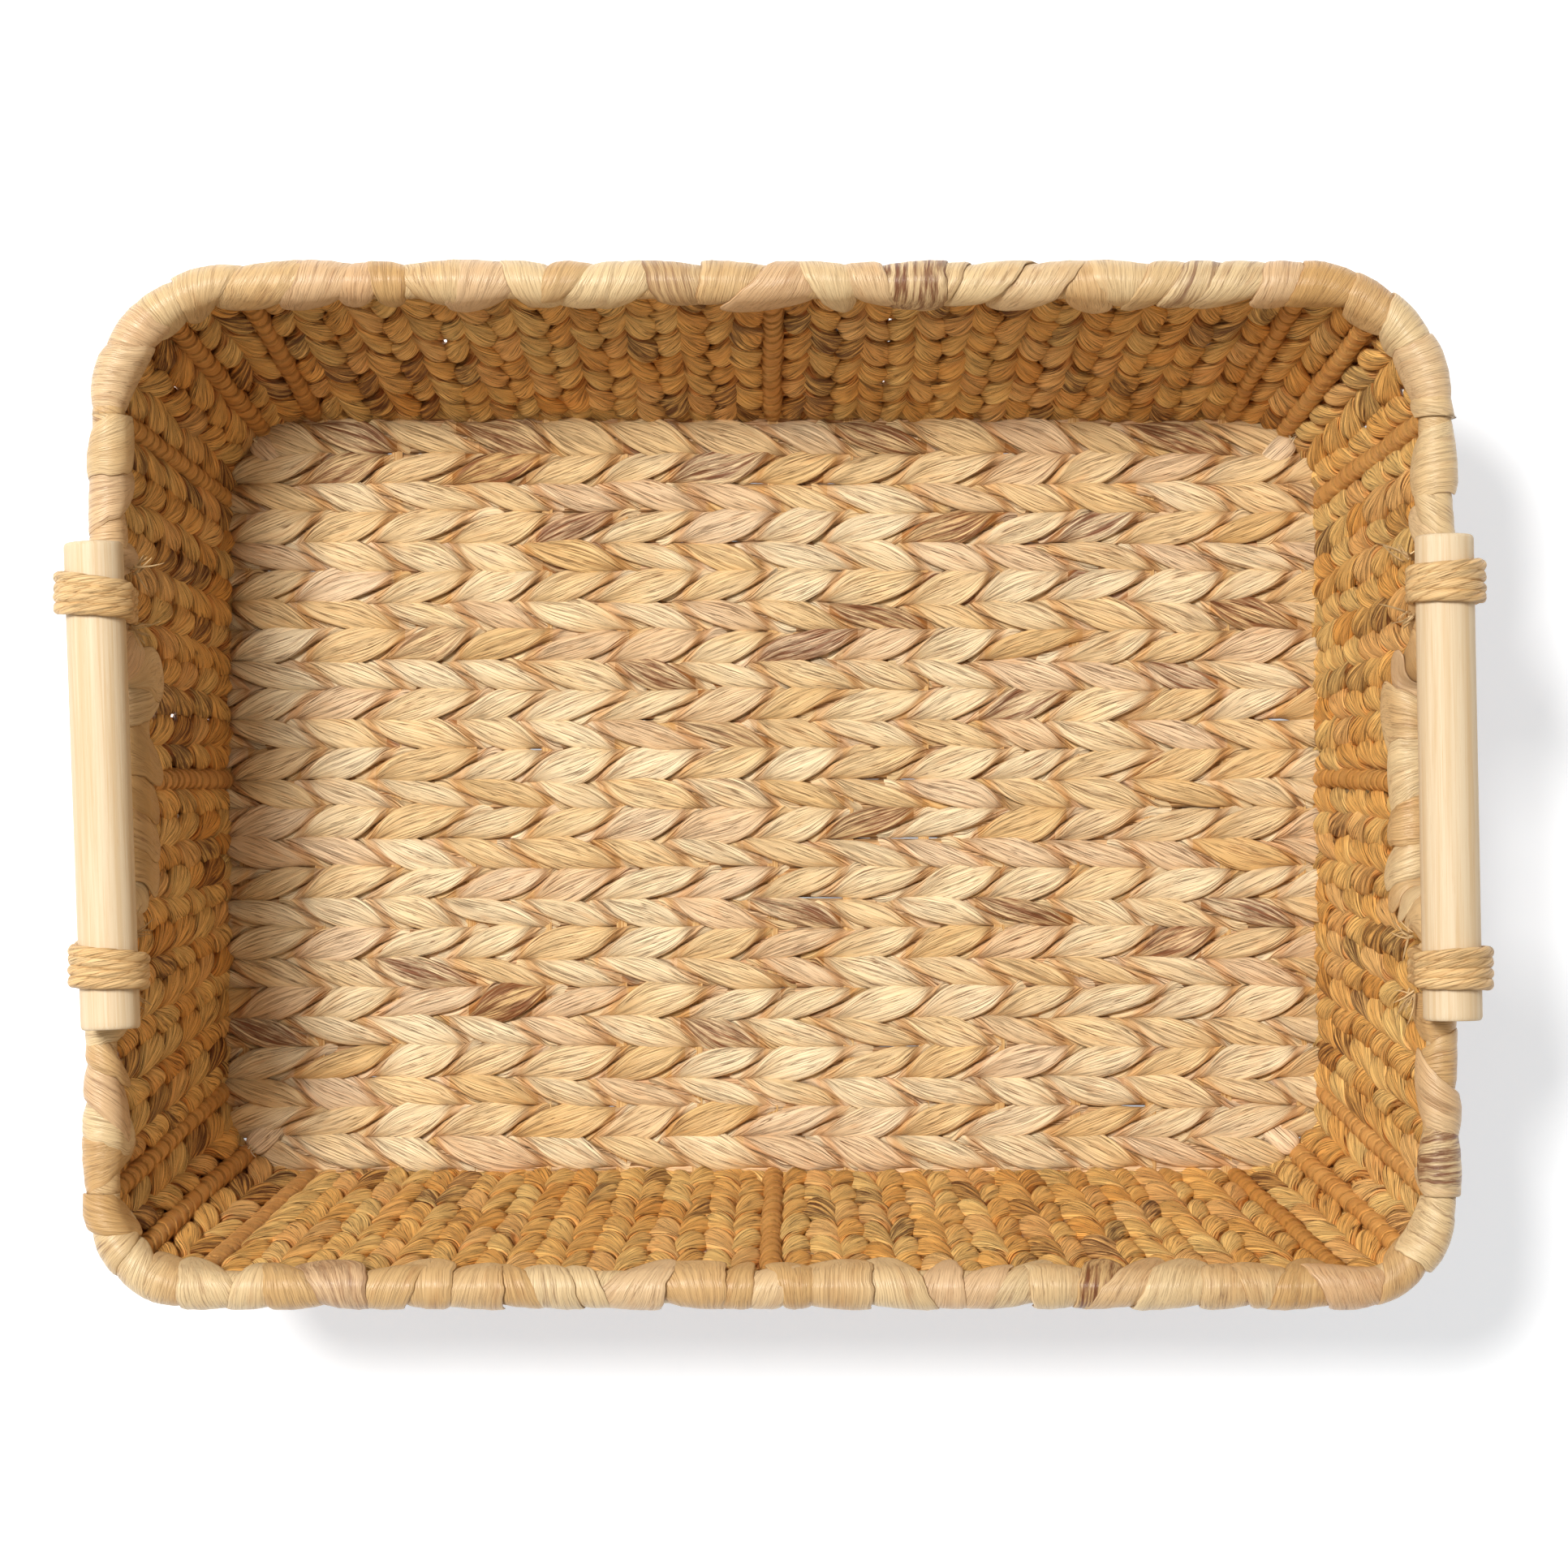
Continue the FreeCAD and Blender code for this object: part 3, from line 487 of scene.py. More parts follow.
def make_floor(material):
    """Each floor row as a pair of strands twisted round the stakes."""
    stake_x = box_mm("floor_stakes")[1][0] - STAKE_HALF_WIDTH
    nodes = [f"floor_row_{number:02d}" for number in range(1, ROWS + 1)]
    row_middles = [sum(box_mm(node))[1] / 2 for node in nodes]
    for number, node in enumerate(nodes, start=1):
        low, high = box_mm(node)
        rng = np.random.default_rng(SEED + number)
        y, level = (low[1] + high[1]) / 2, (low[2] + high[2]) / 2
        reach = ROW_END_REACH.get(min(number, ROWS + 1 - number), USUAL_END_REACH)
        x = np.linspace(low[0] - reach, high[0] + reach, 320)
        points = np.column_stack([x, np.full_like(x, y), np.full_like(x, level)])
        points[:, 1] += wander(rng, x, 160.0, 0.45)
        hand, size = (1.0, ODD_SIZE) if number % 2 else (-1.0, EVEN_SIZE)
        size = OUTER_SIZE if number in OUTER_ROWS else size
        across, out = np.tile([0.0, 1.0, 0.0], (len(x), 1)), np.tile([0.0, 0.0, 1.0], (len(x), 1))
        end_dip = np.clip(1 - np.minimum(x - x[0], x[-1] - x) / ROW_DIP_REACH, 0, 1) ** 2
        points[:, 2] -= ROW_DIP * end_dip
        phase = math.pi * (x - stake_x) / FLOOR_TWIST["pitch"] + ROW_PHASE
        phase = phase + rng.uniform(-0.12, 0.12) * math.pi
        from_back = sum(other > row_middles[number - 1] for other in row_middles)
        weave = Weave()
        # The back rows get painted shade through their lobes' tone and staining values
        add_twisted_pair(
            weave, points, across, out, FLOOR_TWIST, hand, rng, phase, 3.5, size,
            raised=BACK_ROW_PAINTED_SHADE.get(from_back, (0.0, 0.0, 0.0))
        )
        add_core(weave, points[::4], across[::4], out[::4], ROW_CORE, rng)
        if number in OUTER_ROWS:
            beside = np.abs(x) < FOOT_SEAL_REACH
            seal = points[beside] + [0.0, FOOT_SEAL_ASIDE * np.sign(y), 0.0]
            add_core(weave, seal[::4], across[beside][::4], out[beside][::4], FOOT_SEAL, rng)
        if number in STUB_ROWS:
            for end in (-1.0, 1.0):
                root = np.array([end * (high[0] - 4.5), y + np.sign(y) * 4.5, level + 1.5])
                add_stub(weave, root, np.array([end, 0.9 * np.sign(y), 0.35]), rng)
        weave.make(f"floor_row_weave_{number:02d}", material, "root", (node,))


def add_stub(weave, root, direction, rng):
    """The short frayed end of a strand, which fills a corner between the rows and the wall."""
    count, length, arch = 15, 13.0, 5.0
    steps = np.linspace(-0.5, 0.5, count)
    line = unit(np.array(direction))
    side = unit(np.cross([0.0, 0.0, 1.0], line))
    points = root + steps[:, None] * length * line + (0.25 - steps**2)[:, None] * arch * [0, 0, 1]
    bulge = np.sqrt(np.clip(1 - (2 * steps) ** 4, 0.0, 1.0))
    add_strand(
        weave, points, np.tile(side, (count, 1)), np.tile(np.cross(line, side), (count, 1)),
        0.2 + 3.6 * bulge, 0.2 + 1.4 * bulge, rng, lobe=np.tile([0.2, 0.6, 0.85], (count, 1))
    )
    add_tuft(weave, points[-2], line + [0.0, 0.0, 0.6], rng, count=7, length=5.0)


# ---------------------------------------------------------------- walls

# The upright shares of each corner, and where each node's columns run: (stretch, from, to) in
# shares, clockwise as seen from above
COLUMN_WIDTH = 7.7
COLUMN_FOOT = 1.2  # the level at which the columns start
UPRIGHT_MARGIN = 3.2  # the room that each panel leaves for half an upright
CORNER_SHARES = {"back": 0.41, "front": 0.5}
WALL_NODES = {
    "wall_weave_back_left": ("back", 0.0, 0.5),
    "wall_weave_back_right": ("back", 0.5, 1.0),
    "corner_weave_back_right": ("back_right", 0.0, 1.0),
    "wall_weave_right_back": ("right", 0.0, None),
    "wall_weave_right_front": ("right", None, 1.0),
    "corner_weave_front_right": ("front_right", 0.0, 1.0),
    "wall_weave_front_right": ("front", 0.0, 0.5),
    "wall_weave_front_left": ("front", 0.5, 1.0),
    "corner_weave_front_left": ("front_left", 0.0, 1.0),
    "wall_weave_left_front": ("left", 0.0, None),
    "wall_weave_left_back": ("left", None, 1.0),
    "corner_weave_back_left": ("back_left", 0.0, 1.0),
}


def corner_middle(stretch):
    """The share along a corner at which its middle upright stands."""
    middle = CORNER_SHARES[stretch.split("_")[0]]
    return middle if stretch in ("back_right", "front_left") else 1 - middle


def middle_share(stretch):
    """The share along a short side at which y is 0, where its middle upright stands."""
    start, end = outline_point(WALLS["rim"], stretch, [0.0, 1.0])
    return float(start[1] / (start[1] - end[1]))


def stretch_length(stretch, start, end):
    """The length of part of a stretch, half way up the wall."""
    share = np.linspace(start, end, 12)
    lengths = []
    for ring in ("foot", "rim"):
        line = outline_point(WALLS[ring], stretch, share)
        lengths.append(np.linalg.norm(np.diff(line, axis=0), axis=1).sum())
    return sum(lengths) / 2


def add_columns(weave, stretch, start, end, rng):
    """Columns of twisted pairs side by side up one panel of the wall."""
    length = stretch_length(stretch, start, end)
    inset = UPRIGHT_MARGIN / length * (end - start)
    start, end = start + inset, end - inset
    length -= 2 * UPRIGHT_MARGIN
    count = max(2, int(round(length / COLUMN_WIDTH)))
    size = length / count / COLUMN_WIDTH
    pair_phase = 0.0
    for number in range(count):
        if number % 2 == 0:
            pair_phase = rng.uniform(0, math.pi)
        pairing = 0.05 if number % 2 == 0 else -0.05
        share = start + (end - start) * (number + 0.5 + pairing) / count
        top = WALLS["rim_level"] - 1.0
        if stretch in ("left", "right"):
            top -= float(rim_drop(outline_point(WALLS["rim"], stretch, share)[1]))
        samples = int((top - COLUMN_FOOT) * 1.05)
        levels = np.linspace(COLUMN_FOOT, top, samples)
        points, across, inward, upward = wall_frame(stretch, share, levels)
        sideways = np.tile(across, (samples, 1))
        inside = np.tile(inward, (samples, 1))
        points = points + sideways * wander(rng, levels, 90.0, 0.5)[:, None]
        hand, usual = (-1.0, ODD_SIZE) if number % 2 == 0 else (1.0, EVEN_SIZE)
        travel = (levels - COLUMN_FOOT) / upward[2]
        twist = dict(WALL_TWIST, pitch=WALL_TWIST["pitch"] * rng.uniform(0.96, 1.04))
        phase = math.pi * travel / twist["pitch"] + pair_phase + rng.normal(0, 0.3)
        add_twisted_pair(
            weave, points, sideways, inside, twist, hand, rng, phase, 2.2,
            size * rng.uniform(0.97, 1.08) * usual, skew=0.42, around=18
        )
        core = (COLUMN_CORE[0] * size, COLUMN_CORE[1])
        add_core(weave, points[::3], sideways[::3], inside[::3], core, rng)


def add_foot_binding(weave, stretch, start, end, rng):
    """Strands round the base wire, along the foot of one panel."""
    level = sum(box_mm("base_wire"))[2] / 2
    spacing = 0.8
    count = max(24, int(stretch_length(stretch, start, end) / spacing))
    shares = np.linspace(start, end, count)
    places = [wall_frame(stretch, share, [level]) for share in shares]
    points = np.array([place[0][0] for place in places])
    inward = np.array([place[2] for place in places])
    along = unit(np.gradient(points, axis=0))
    upward = unit(np.cross(inward, along))
    radius = 3.3 + wander(rng, np.arange(count) * spacing, 30.0, 0.3)
    add_wrapped_bar(
        weave, points, inward, upward, radius, rng, pitch=11.0, slant=0.3, around=20, step=0.7
    )


def make_walls(material):
    """The woven columns of every wall panel and corner."""
    for order, (node, (stretch, start, end)) in enumerate(WALL_NODES.items()):
        rng = np.random.default_rng(SEED + 100 + order)
        start = middle_share(stretch) if start is None else start
        end = middle_share(stretch) if end is None else end
        weave = Weave()
        if "_" in stretch:
            middle = corner_middle(stretch)
            add_columns(weave, stretch, start, middle, rng)
            add_columns(weave, stretch, middle, end, rng)
        else:
            add_columns(weave, stretch, start, end, rng)
        add_foot_binding(weave, stretch, start, end, rng)
        weave.make(node.replace("_weave_", "_columns_"), material, "root", (node,))


# ---------------------------------------------------------------- wrapped bars: rim and uprights

def add_wrapped_bar(weave, points, across, out, radius, rng, pitch, slant, around, step):
    """A bar wrapped with strip, each turn of which lies a little over the one before.

    pitch is the width of a turn, slant its lean, and step how far its edge stands up.
    """
    angle = np.linspace(0.0, 2 * math.pi, around, endpoint=False)
    centred = np.where(angle > math.pi, angle - 2 * math.pi, angle)
    travel = run_along(points)
    turns = (travel + wander(rng, travel, 70.0, 2.0))[:, None] / pitch
    turns = turns + slant * centred[None, :]
    part = turns - np.floor(turns)
    swell = step * (part - 0.5) - 0.5 * step * np.exp(-((1 - part) / 0.05) ** 2)
    reach = radius[:, None] + swell
    grid = rings_round(points, across, out, reach * np.cos(angle), reach * np.sin(angle))
    start = rng.uniform(0, FIBRE_START, 3)
    fibre = fibre_places(
        start, radius[:, None] * centred, travel[:, None], np.floor(turns) * 7.3, grid.shape
    )
    fibre[..., 1] += slant * pitch * centred
    # Painted shade: each turn is marked darker along both edges where one turn lies over the next
    wear = np.exp(-(part / 0.07) ** 2) + 0.6 * np.exp(-((1 - part) / 0.08) ** 2)
    lobe = np.broadcast_to(rng.uniform(0.1, 0.85, 3), grid.shape)
    weave.add_grid(grid, fibre=fibre, lobe=lobe, wear=wear)


def make_uprights(material):
    """The wrapped rods at the corners and the middle of each side."""
    groups = {}
    for end in ("back", "front"):
        for side in ("left", "right"):
            stretch = f"{end}_{side}"
            shares = (0.0, corner_middle(stretch), 1.0)
            groups[f"upright_wraps_{stretch}"] = [(stretch, share) for share in shares]
    for side in ("back", "front"):
        groups[f"upright_wrap_{side}"] = [(side, 0.5)]
    for side in ("left", "right"):
        groups[f"upright_wrap_{side}"] = [(side, middle_share(side))]
    for order, (node, bars) in enumerate(groups.items()):
        rng = np.random.default_rng(SEED + 200 + order)
        weave = Weave()
        for stretch, share in bars:
            drop = WALLS["dip_depth"] if stretch in ("left", "right") else 0.0
            samples = 240
            levels = np.linspace(4.0, WALLS["rim_level"] - drop - 1.5, samples)
            points, across, inward, _ = wall_frame(stretch, share, levels)
            points = points + inward * 1.3
            points = points + across * wander(rng, levels, 120.0, 0.4)[:, None]
            sideways, inside = np.tile(across, (samples, 1)), np.tile(inward, (samples, 1))
            # A strip behind each rod, marked fully as painted shade, shows dark in the gap between rod
            # and weave
            behind = points[::8] - inward * 1.4
            add_core(weave, behind, sideways[::8], inside[::8], ROD_BACKING, rng)
            radius = 3.1 + wander(rng, levels, 40.0, 0.2)
            slant = rng.choice([-1, 1]) * 0.2
            add_wrapped_bar(
                weave, points, sideways, inside, radius, rng, pitch=6.2, slant=slant, around=26,
                step=0.6
            )
        weave.make(f"{node}_strip", material, "root", (node,))


# Where the rim is thinnest, beside the handles' ends: how far from the middle, and how far each way
THIN_PLACE, THIN_REACH = 72.0, 9.0


def rim_radius(points):
    """How thick the rim's wrapping is: thinner beside the handles' ends."""
    near_side = np.abs(points[:, 0]) > WALLS["rim"][0] - 0.5
    distance = np.abs(np.abs(points[:, 1]) - THIN_PLACE)
    thin = np.where(near_side, np.exp(-((distance / THIN_REACH) ** 2)), 0.0)
    return WALLS["wrap_radius"] * (1.0 - 0.2 * thin)


def make_rim(material):
    """The rim: a wrapped core all the way round, with flat strips folded over it."""
    points, outward = rim_path(0.8)
    along = unit(np.roll(points, -1, axis=0) - np.roll(points, 1, axis=0))
    upward = unit(np.cross(along, outward))
    outward = unit(np.cross(upward, along))
    radius = rim_radius(points)
    side_low, side_high = box_mm("rim_wrap_left")
    part = np.where(
        points[:, 1] >= side_high[1] - 1e-6, 0, np.where(points[:, 1] <= side_low[1] + 1e-6, 2, 1)
    )
    part = np.where((part == 1) & (points[:, 0] < 0), 3, part)
    for order, name in enumerate(("back", "right", "front", "left")):
        rng = np.random.default_rng(SEED + 300 + order)
        member = np.flatnonzero(part == order)
        gap = np.flatnonzero(np.diff(member) > 1)
        if len(gap):
            member = np.concatenate([member[gap[0] + 1:], member[:gap[0] + 1]])
        member = np.append(member, (member[-1] + 1) % len(points))
        weave = Weave()
        add_wrapped_bar(
            weave, points[member], outward[member], upward[member], radius[member] - 0.7, rng,
            pitch=14.0, slant=0.10, around=28, step=0.25
        )
        stretch = {
            "points": points[member], "outward": outward[member], "upward": upward[member],
            "radius": radius[member],
        }
        add_rim_strips(weave, stretch, rng)
        weave.make(f"rim_strip_{name}", material, "root", (f"rim_wrap_{name}",))


# A strip is folded over the rim by these angles to each side, and lies at this slope across its
# width, so that one edge covers its neighbour. The end steps carry it on down the wall.
INNER_FOLD = math.radians(74.0)
OUTER_FOLD = math.radians(100.0)
STRIP_TILT = 0.10
STRIP_WIDTHS = (9.0, 19.0)
STRIP_STEPS = (0.74, 0.93)  # how far on the next strip starts, as a share of the width
TURNED_STRIPS = 0.2  # the share of strips that lie the other way from the one before
STRIP_SLANTS = (-3.0, 5.0)  # how far each half of the fold runs along the rim
STRIP_HALF_THICKNESS = (0.9, 1.35)
INNER_TAILS, OUTER_TAILS = (2.5, 7.5), (3.0, 8.0)  # how far a strip's ends run down the wall
END_STEPS = 1 - np.cos(np.linspace(0.0, math.pi / 2, 10))[:-1]
STRIP_FOLD = np.concatenate([-2 + END_STEPS, np.linspace(-1, 1, 26), 2 - END_STEPS[::-1]])


def add_rim_strips(weave, stretch, rng):
    """Flat strips folded over the rim, one after another, each with its own width and slant."""
    travel = run_along(stretch["points"])
    place, lay = 2.0, 1.0
    while place < travel[-1] - 3.0:
        width = rng.uniform(*STRIP_WIDTHS)
        lay = -lay if rng.uniform() < TURNED_STRIPS else lay
        add_rim_strip(weave, stretch, travel, place + width / 2, width * 1.12, lay, rng)
        place += width * rng.uniform(*STRIP_STEPS)


def add_rim_strip(weave, stretch, travel, place, width, lay, rng):
    """One strip over the rim. Every part of it follows the rim, round corners and into the dips."""
    around = 24
    section = np.linspace(0.0, 2 * math.pi, around, endpoint=False)
    fold = STRIP_FOLD
    angle = np.where(fold < 0, np.maximum(fold, -1) * INNER_FOLD, np.minimum(fold, 1) * OUTER_FOLD)
    past_inner, past_outer = np.clip(-1 - fold, 0, 1), np.clip(fold - 1, 0, 1)
    past = np.maximum(past_inner, past_outer)
    rounding = np.sqrt(np.clip(1 - past**2.4, 0.0, 1.0))
    flare = rng.uniform(-0.3, 0.3)
    spread = 1 - flare * np.clip(fold, -1.5, 0.8) + wander(rng, fold * 10, 14.0, 0.05)
    half_width = np.maximum(width / 2 * rounding * spread, 0.2)
    half_height = rng.uniform(*STRIP_HALF_THICKNESS) * (0.3 + 0.7 * rounding) * (1 - 0.4 * past)
    lateral = half_width[:, None] * np.cos(section)
    slant = rng.uniform(*STRIP_SLANTS)
    places = np.clip(place + slant * fold[:, None] + lateral, 0.0, travel[-1])
    here = {
        key: np.stack([np.interp(places, travel, stretch[key][:, k]) for k in range(3)], -1)
        for key in ("points", "outward", "upward")
    }
    waves = wander(rng, np.cos(section) * width / 2, 5.0, 0.12) * rounding[:, None]
    radius = np.interp(places, travel, stretch["radius"]) - 0.5 + waves
    radius = radius + lay * STRIP_TILT * lateral + half_height[:, None] * np.sin(section)
    sideways, height = np.sin(angle)[:, None] * radius, np.cos(angle)[:, None] * radius
    reach_inner, reach_outer = rng.uniform(*INNER_TAILS), rng.uniform(*OUTER_TAILS)
    height = height - (past_inner * reach_inner + past_outer * reach_outer)[:, None]
    sideways = sideways - (past_inner * reach_inner * 0.42 + past_outer * 0.9)[:, None]
    grid = here["points"] + sideways[..., None] * here["outward"] + height[..., None] * here["upward"]
    fibre = fibre_places(
        rng.uniform(0, FIBRE_START, 3), run_along(grid[:, 0])[:, None],
        width / 2 * np.cos(section), half_height[:, None] * np.sin(section), grid.shape
    )
    # Painted shade: dark lines along each strip's edges, where one strip lies over the next, and a
    # darker end where the strip runs down past the fold
    edges = 0.95 * np.abs(np.cos(section)) ** 16
    weave.add_grid(
        grid,
        fibre=fibre,
        lobe=np.broadcast_to(rng.uniform(0, 1, 3), grid.shape),
        wear=past[:, None] * 0.35 + edges[None, :],
    )


# ---------------------------------------------------------------- handles and lashings

def handle_line(side):
    """The front and back ends of a handle's middle line and its radius, read from its box.

    Each dowel lies slightly askew, with its back end further to the left.
    """
    low, high = box_mm(f"handle_{side}")
    radius = (high[2] - low[2]) / 2
    middle = (low + high) / 2
    lean = (high[0] - low[0]) / 2 - radius
    back = np.array([middle[0] - lean, high[1], middle[2]])
    front = np.array([middle[0] + lean, low[1], middle[2]])
    return front, back, radius


# The distances from a dowel's end at which its edge is rounded, how much, and over what length
DOWEL_EDGE_STEPS = np.array([0.0, 0.25, 0.6, 1.1])
DOWEL_TRIM, DOWEL_TRIM_LENGTH = 0.7, 0.9


def make_handles(material):
    """The dowels, each a plain round bar with its edges taken off."""
    for order, side in enumerate(("left", "right")):
        rng = np.random.default_rng(SEED + 400 + order)
        front, back, radius = handle_line(side)
        line = back - front
        length = np.linalg.norm(line)
        along = line / length
        between = np.linspace(2.5, length - 2.5, 40)
        places = np.concatenate([DOWEL_EDGE_STEPS, between, length - DOWEL_EDGE_STEPS[::-1]])
        edge = np.minimum(places, length - places)
        trim = DOWEL_TRIM * (1 - np.sqrt(np.clip(edge / DOWEL_TRIM_LENGTH, 0, 1)))
        points = front + along * places[:, None]
        up = np.array([0.0, 0.0, 1.0])
        across = np.cross(along, up)
        angle = np.linspace(0, 2 * math.pi, 72, endpoint=False)
        reach = (radius - trim)[:, None] * (1 + 0.004 * np.cos(2 * angle + order))[None, :]
        wide, high = reach * np.cos(angle), reach * np.sin(angle)
        grid = rings_round(points, across[None, :], up[None, :], wide, high)
        start = (rng.uniform(0, 500, 3)[0], 0.0, 0.0)
        fibre = fibre_places(start, places[:, None], wide, high, grid.shape)
        weave = Weave()
        weave.add_grid(grid, fibre=fibre, lobe=np.zeros(grid.shape), wear=np.zeros(grid.shape[:2]))
        weave.make(f"handle_dowel_{side}", material, "root", (f"handle_{side}",))


def belt(top, top_radius, low, low_radius, samples):
    """A closed line round two circles in a plane, as points of x and z, anticlockwise."""
    gap = top - low
    direction = math.atan2(gap[1], gap[0])
    lean = math.acos((top_radius - low_radius) / np.linalg.norm(gap))
    first = np.linspace(direction - lean, direction + lean, samples)
    second = np.linspace(direction + lean, direction - lean + 2 * math.pi, samples)
    upper = top + top_radius * np.stack([np.cos(first), np.sin(first)], -1)
    lower = low + low_radius * np.stack([np.cos(second), np.sin(second)], -1)
    return evenly(np.concatenate([upper, lower, upper[:1]]), 0.6)


CORD_TURNS = 4
CORD_HALF_WIDTH, CORD_HALF_HEIGHT = 1.8, 1.65
CORD_PLIES, CORD_LAY = 3, 19.0
CORD_FALL = 1.1  # how far the turns fall towards the front at their inner side


def make_lashings(material):
    """Four turns of cord round each handle end and the rim under it, wound as one coil."""
    for order, node in enumerate(
        ("lashing_left_back", "lashing_left_front", "lashing_right_back", "lashing_right_front")
    ):
        rng = np.random.default_rng(SEED + 500 + order)
        low, high = box_mm(node)
        side = node.split("_")[1]
        front, back, radius = handle_line(side)
        middle_y = (low[1] + high[1]) / 2
        part = (middle_y - front[1]) / (back[1] - front[1])
        top = front + (back - front) * part
        outward = 1.0 if side == "right" else -1.0
        rim = np.array([WALLS["rim"][0] * outward, WALLS["rim_level"]])
        ring = belt(
            top[[0, 2]], radius + CORD_HALF_HEIGHT, rim, WALLS["wrap_radius"] + CORD_HALF_HEIGHT, 40
        )
        count = len(ring) - 1
        total = count * CORD_TURNS
        index = np.arange(total + 1)
        underneath = int(np.argmin(ring[:-1, 1]))
        flat = ring[(index + underneath) % count]
        outer_x = np.max(np.abs(ring[:, 0])) * outward
        inner_share = np.abs(flat[:, 0] - outer_x) / np.ptp(ring[:, 0])
        width = (high[1] - low[1]) - 2 * CORD_HALF_WIDTH
        drift = index / total - 0.5
        wobble = wander(rng, index * 0.6, 60.0, 0.35)
        y = middle_y + width * drift * (1.04 - 0.22 * inner_share) + wobble - CORD_FALL * inner_share
        points = np.column_stack([flat[:, 0], y, flat[:, 1]])
        centre = np.array([(top[0] + rim[0]) / 2, middle_y, (top[2] + rim[1]) / 2])
        line = unit(np.gradient(points, axis=0))
        sideways = np.tile([0.0, 1.0, 0.0], (len(points), 1))
        face = unit(np.cross(sideways, line))
        pointing = np.sum(face * (points - centre), axis=1)
        face = face * np.where(np.median(pointing) < 0, -1.0, 1.0)
        weave = Weave()
        add_cord(weave, points, sideways, face, rng)
        for end in (-1.0, 1.0):
            root = np.array([rim[0] - outward * 7.5, middle_y + end * 8.0, rim[1] + 1.5])
            add_tuft(weave, root, np.array([-outward * 0.7, end * 0.5, -0.3]), rng)
        weave.make(f"{node}_cord", material, "root", (node,))


def add_cord(weave, points, across, out, rng):
    """A cord of three plies laid together: its section has a lobe for each, which turn along it."""
    travel = run_along(points)
    angle = np.linspace(0, 2 * math.pi, 24, endpoint=False)
    turn = 2 * math.pi * travel / CORD_LAY
    ply = np.abs(np.cos(CORD_PLIES / 2 * (angle[None, :] - turn[:, None])))
    lobes = 0.88 + 0.15 * np.sqrt(ply)
    wide, high = CORD_HALF_WIDTH * lobes * np.cos(angle), CORD_HALF_HEIGHT * lobes * np.sin(angle)
    grid = rings_round(points, across, out, wide, high)
    start = rng.uniform(0, 3000.0, 3)
    spin = angle[None, :] - turn[:, None] * 0.5
    fibre = fibre_places(
        start, travel[:, None], CORD_HALF_WIDTH * np.cos(spin), CORD_HALF_WIDTH * np.sin(spin),
        grid.shape
    )
    # Painted shade in the grooves between the plies and along the cord's two sides
    valleys = 1.3 * (1 - ply) ** 2 + 0.5 * np.abs(np.cos(angle))[None, :] ** 12
    lobe = np.broadcast_to(np.array([0.35, 0.2, 0.5]), grid.shape)
    weave.add_grid(grid, fibre=fibre, lobe=lobe, wear=valleys)


def add_tuft(weave, root, direction, rng, count=9, length=7.0):
    """Loose fibre ends that spread and curl from one place."""
    steps = np.linspace(0.0, 1.0, 9)
    for _ in range(count):
        heading = unit(direction + rng.normal(0, 0.45, 3))
        curl = unit(np.cross(heading, rng.normal(0, 1, 3)))
        reach = length * rng.uniform(0.5, 1.2)
        points = root + rng.normal(0, 0.7, 3) + steps[:, None] * reach * heading
        points = points + (steps**2)[:, None] * reach * rng.uniform(0.1, 0.6) * curl
        line = unit(np.gradient(points, axis=0))
        side = unit(np.cross(line, curl + [0.01, 0.0, 0.0]))
        taper = 0.06 + rng.uniform(0.25, 0.5) * (1 - steps) ** 0.6
        add_strand(
            weave, points, side, unit(np.cross(side, line)), taper, taper * 0.6, rng, 6, 0.0,
            lobe=np.tile([0.0, 0.3, 0.5], (len(steps), 1))
        )


# ---------------------------------------------------------------- materials

def srgb(red, green, blue):
    """A colour given as 0 to 255 screen values, as linear RGBA."""
    return tuple(((c / 255 + 0.055) / 1.055) ** 2.4 for c in (red, green, blue)) + (1.0,)


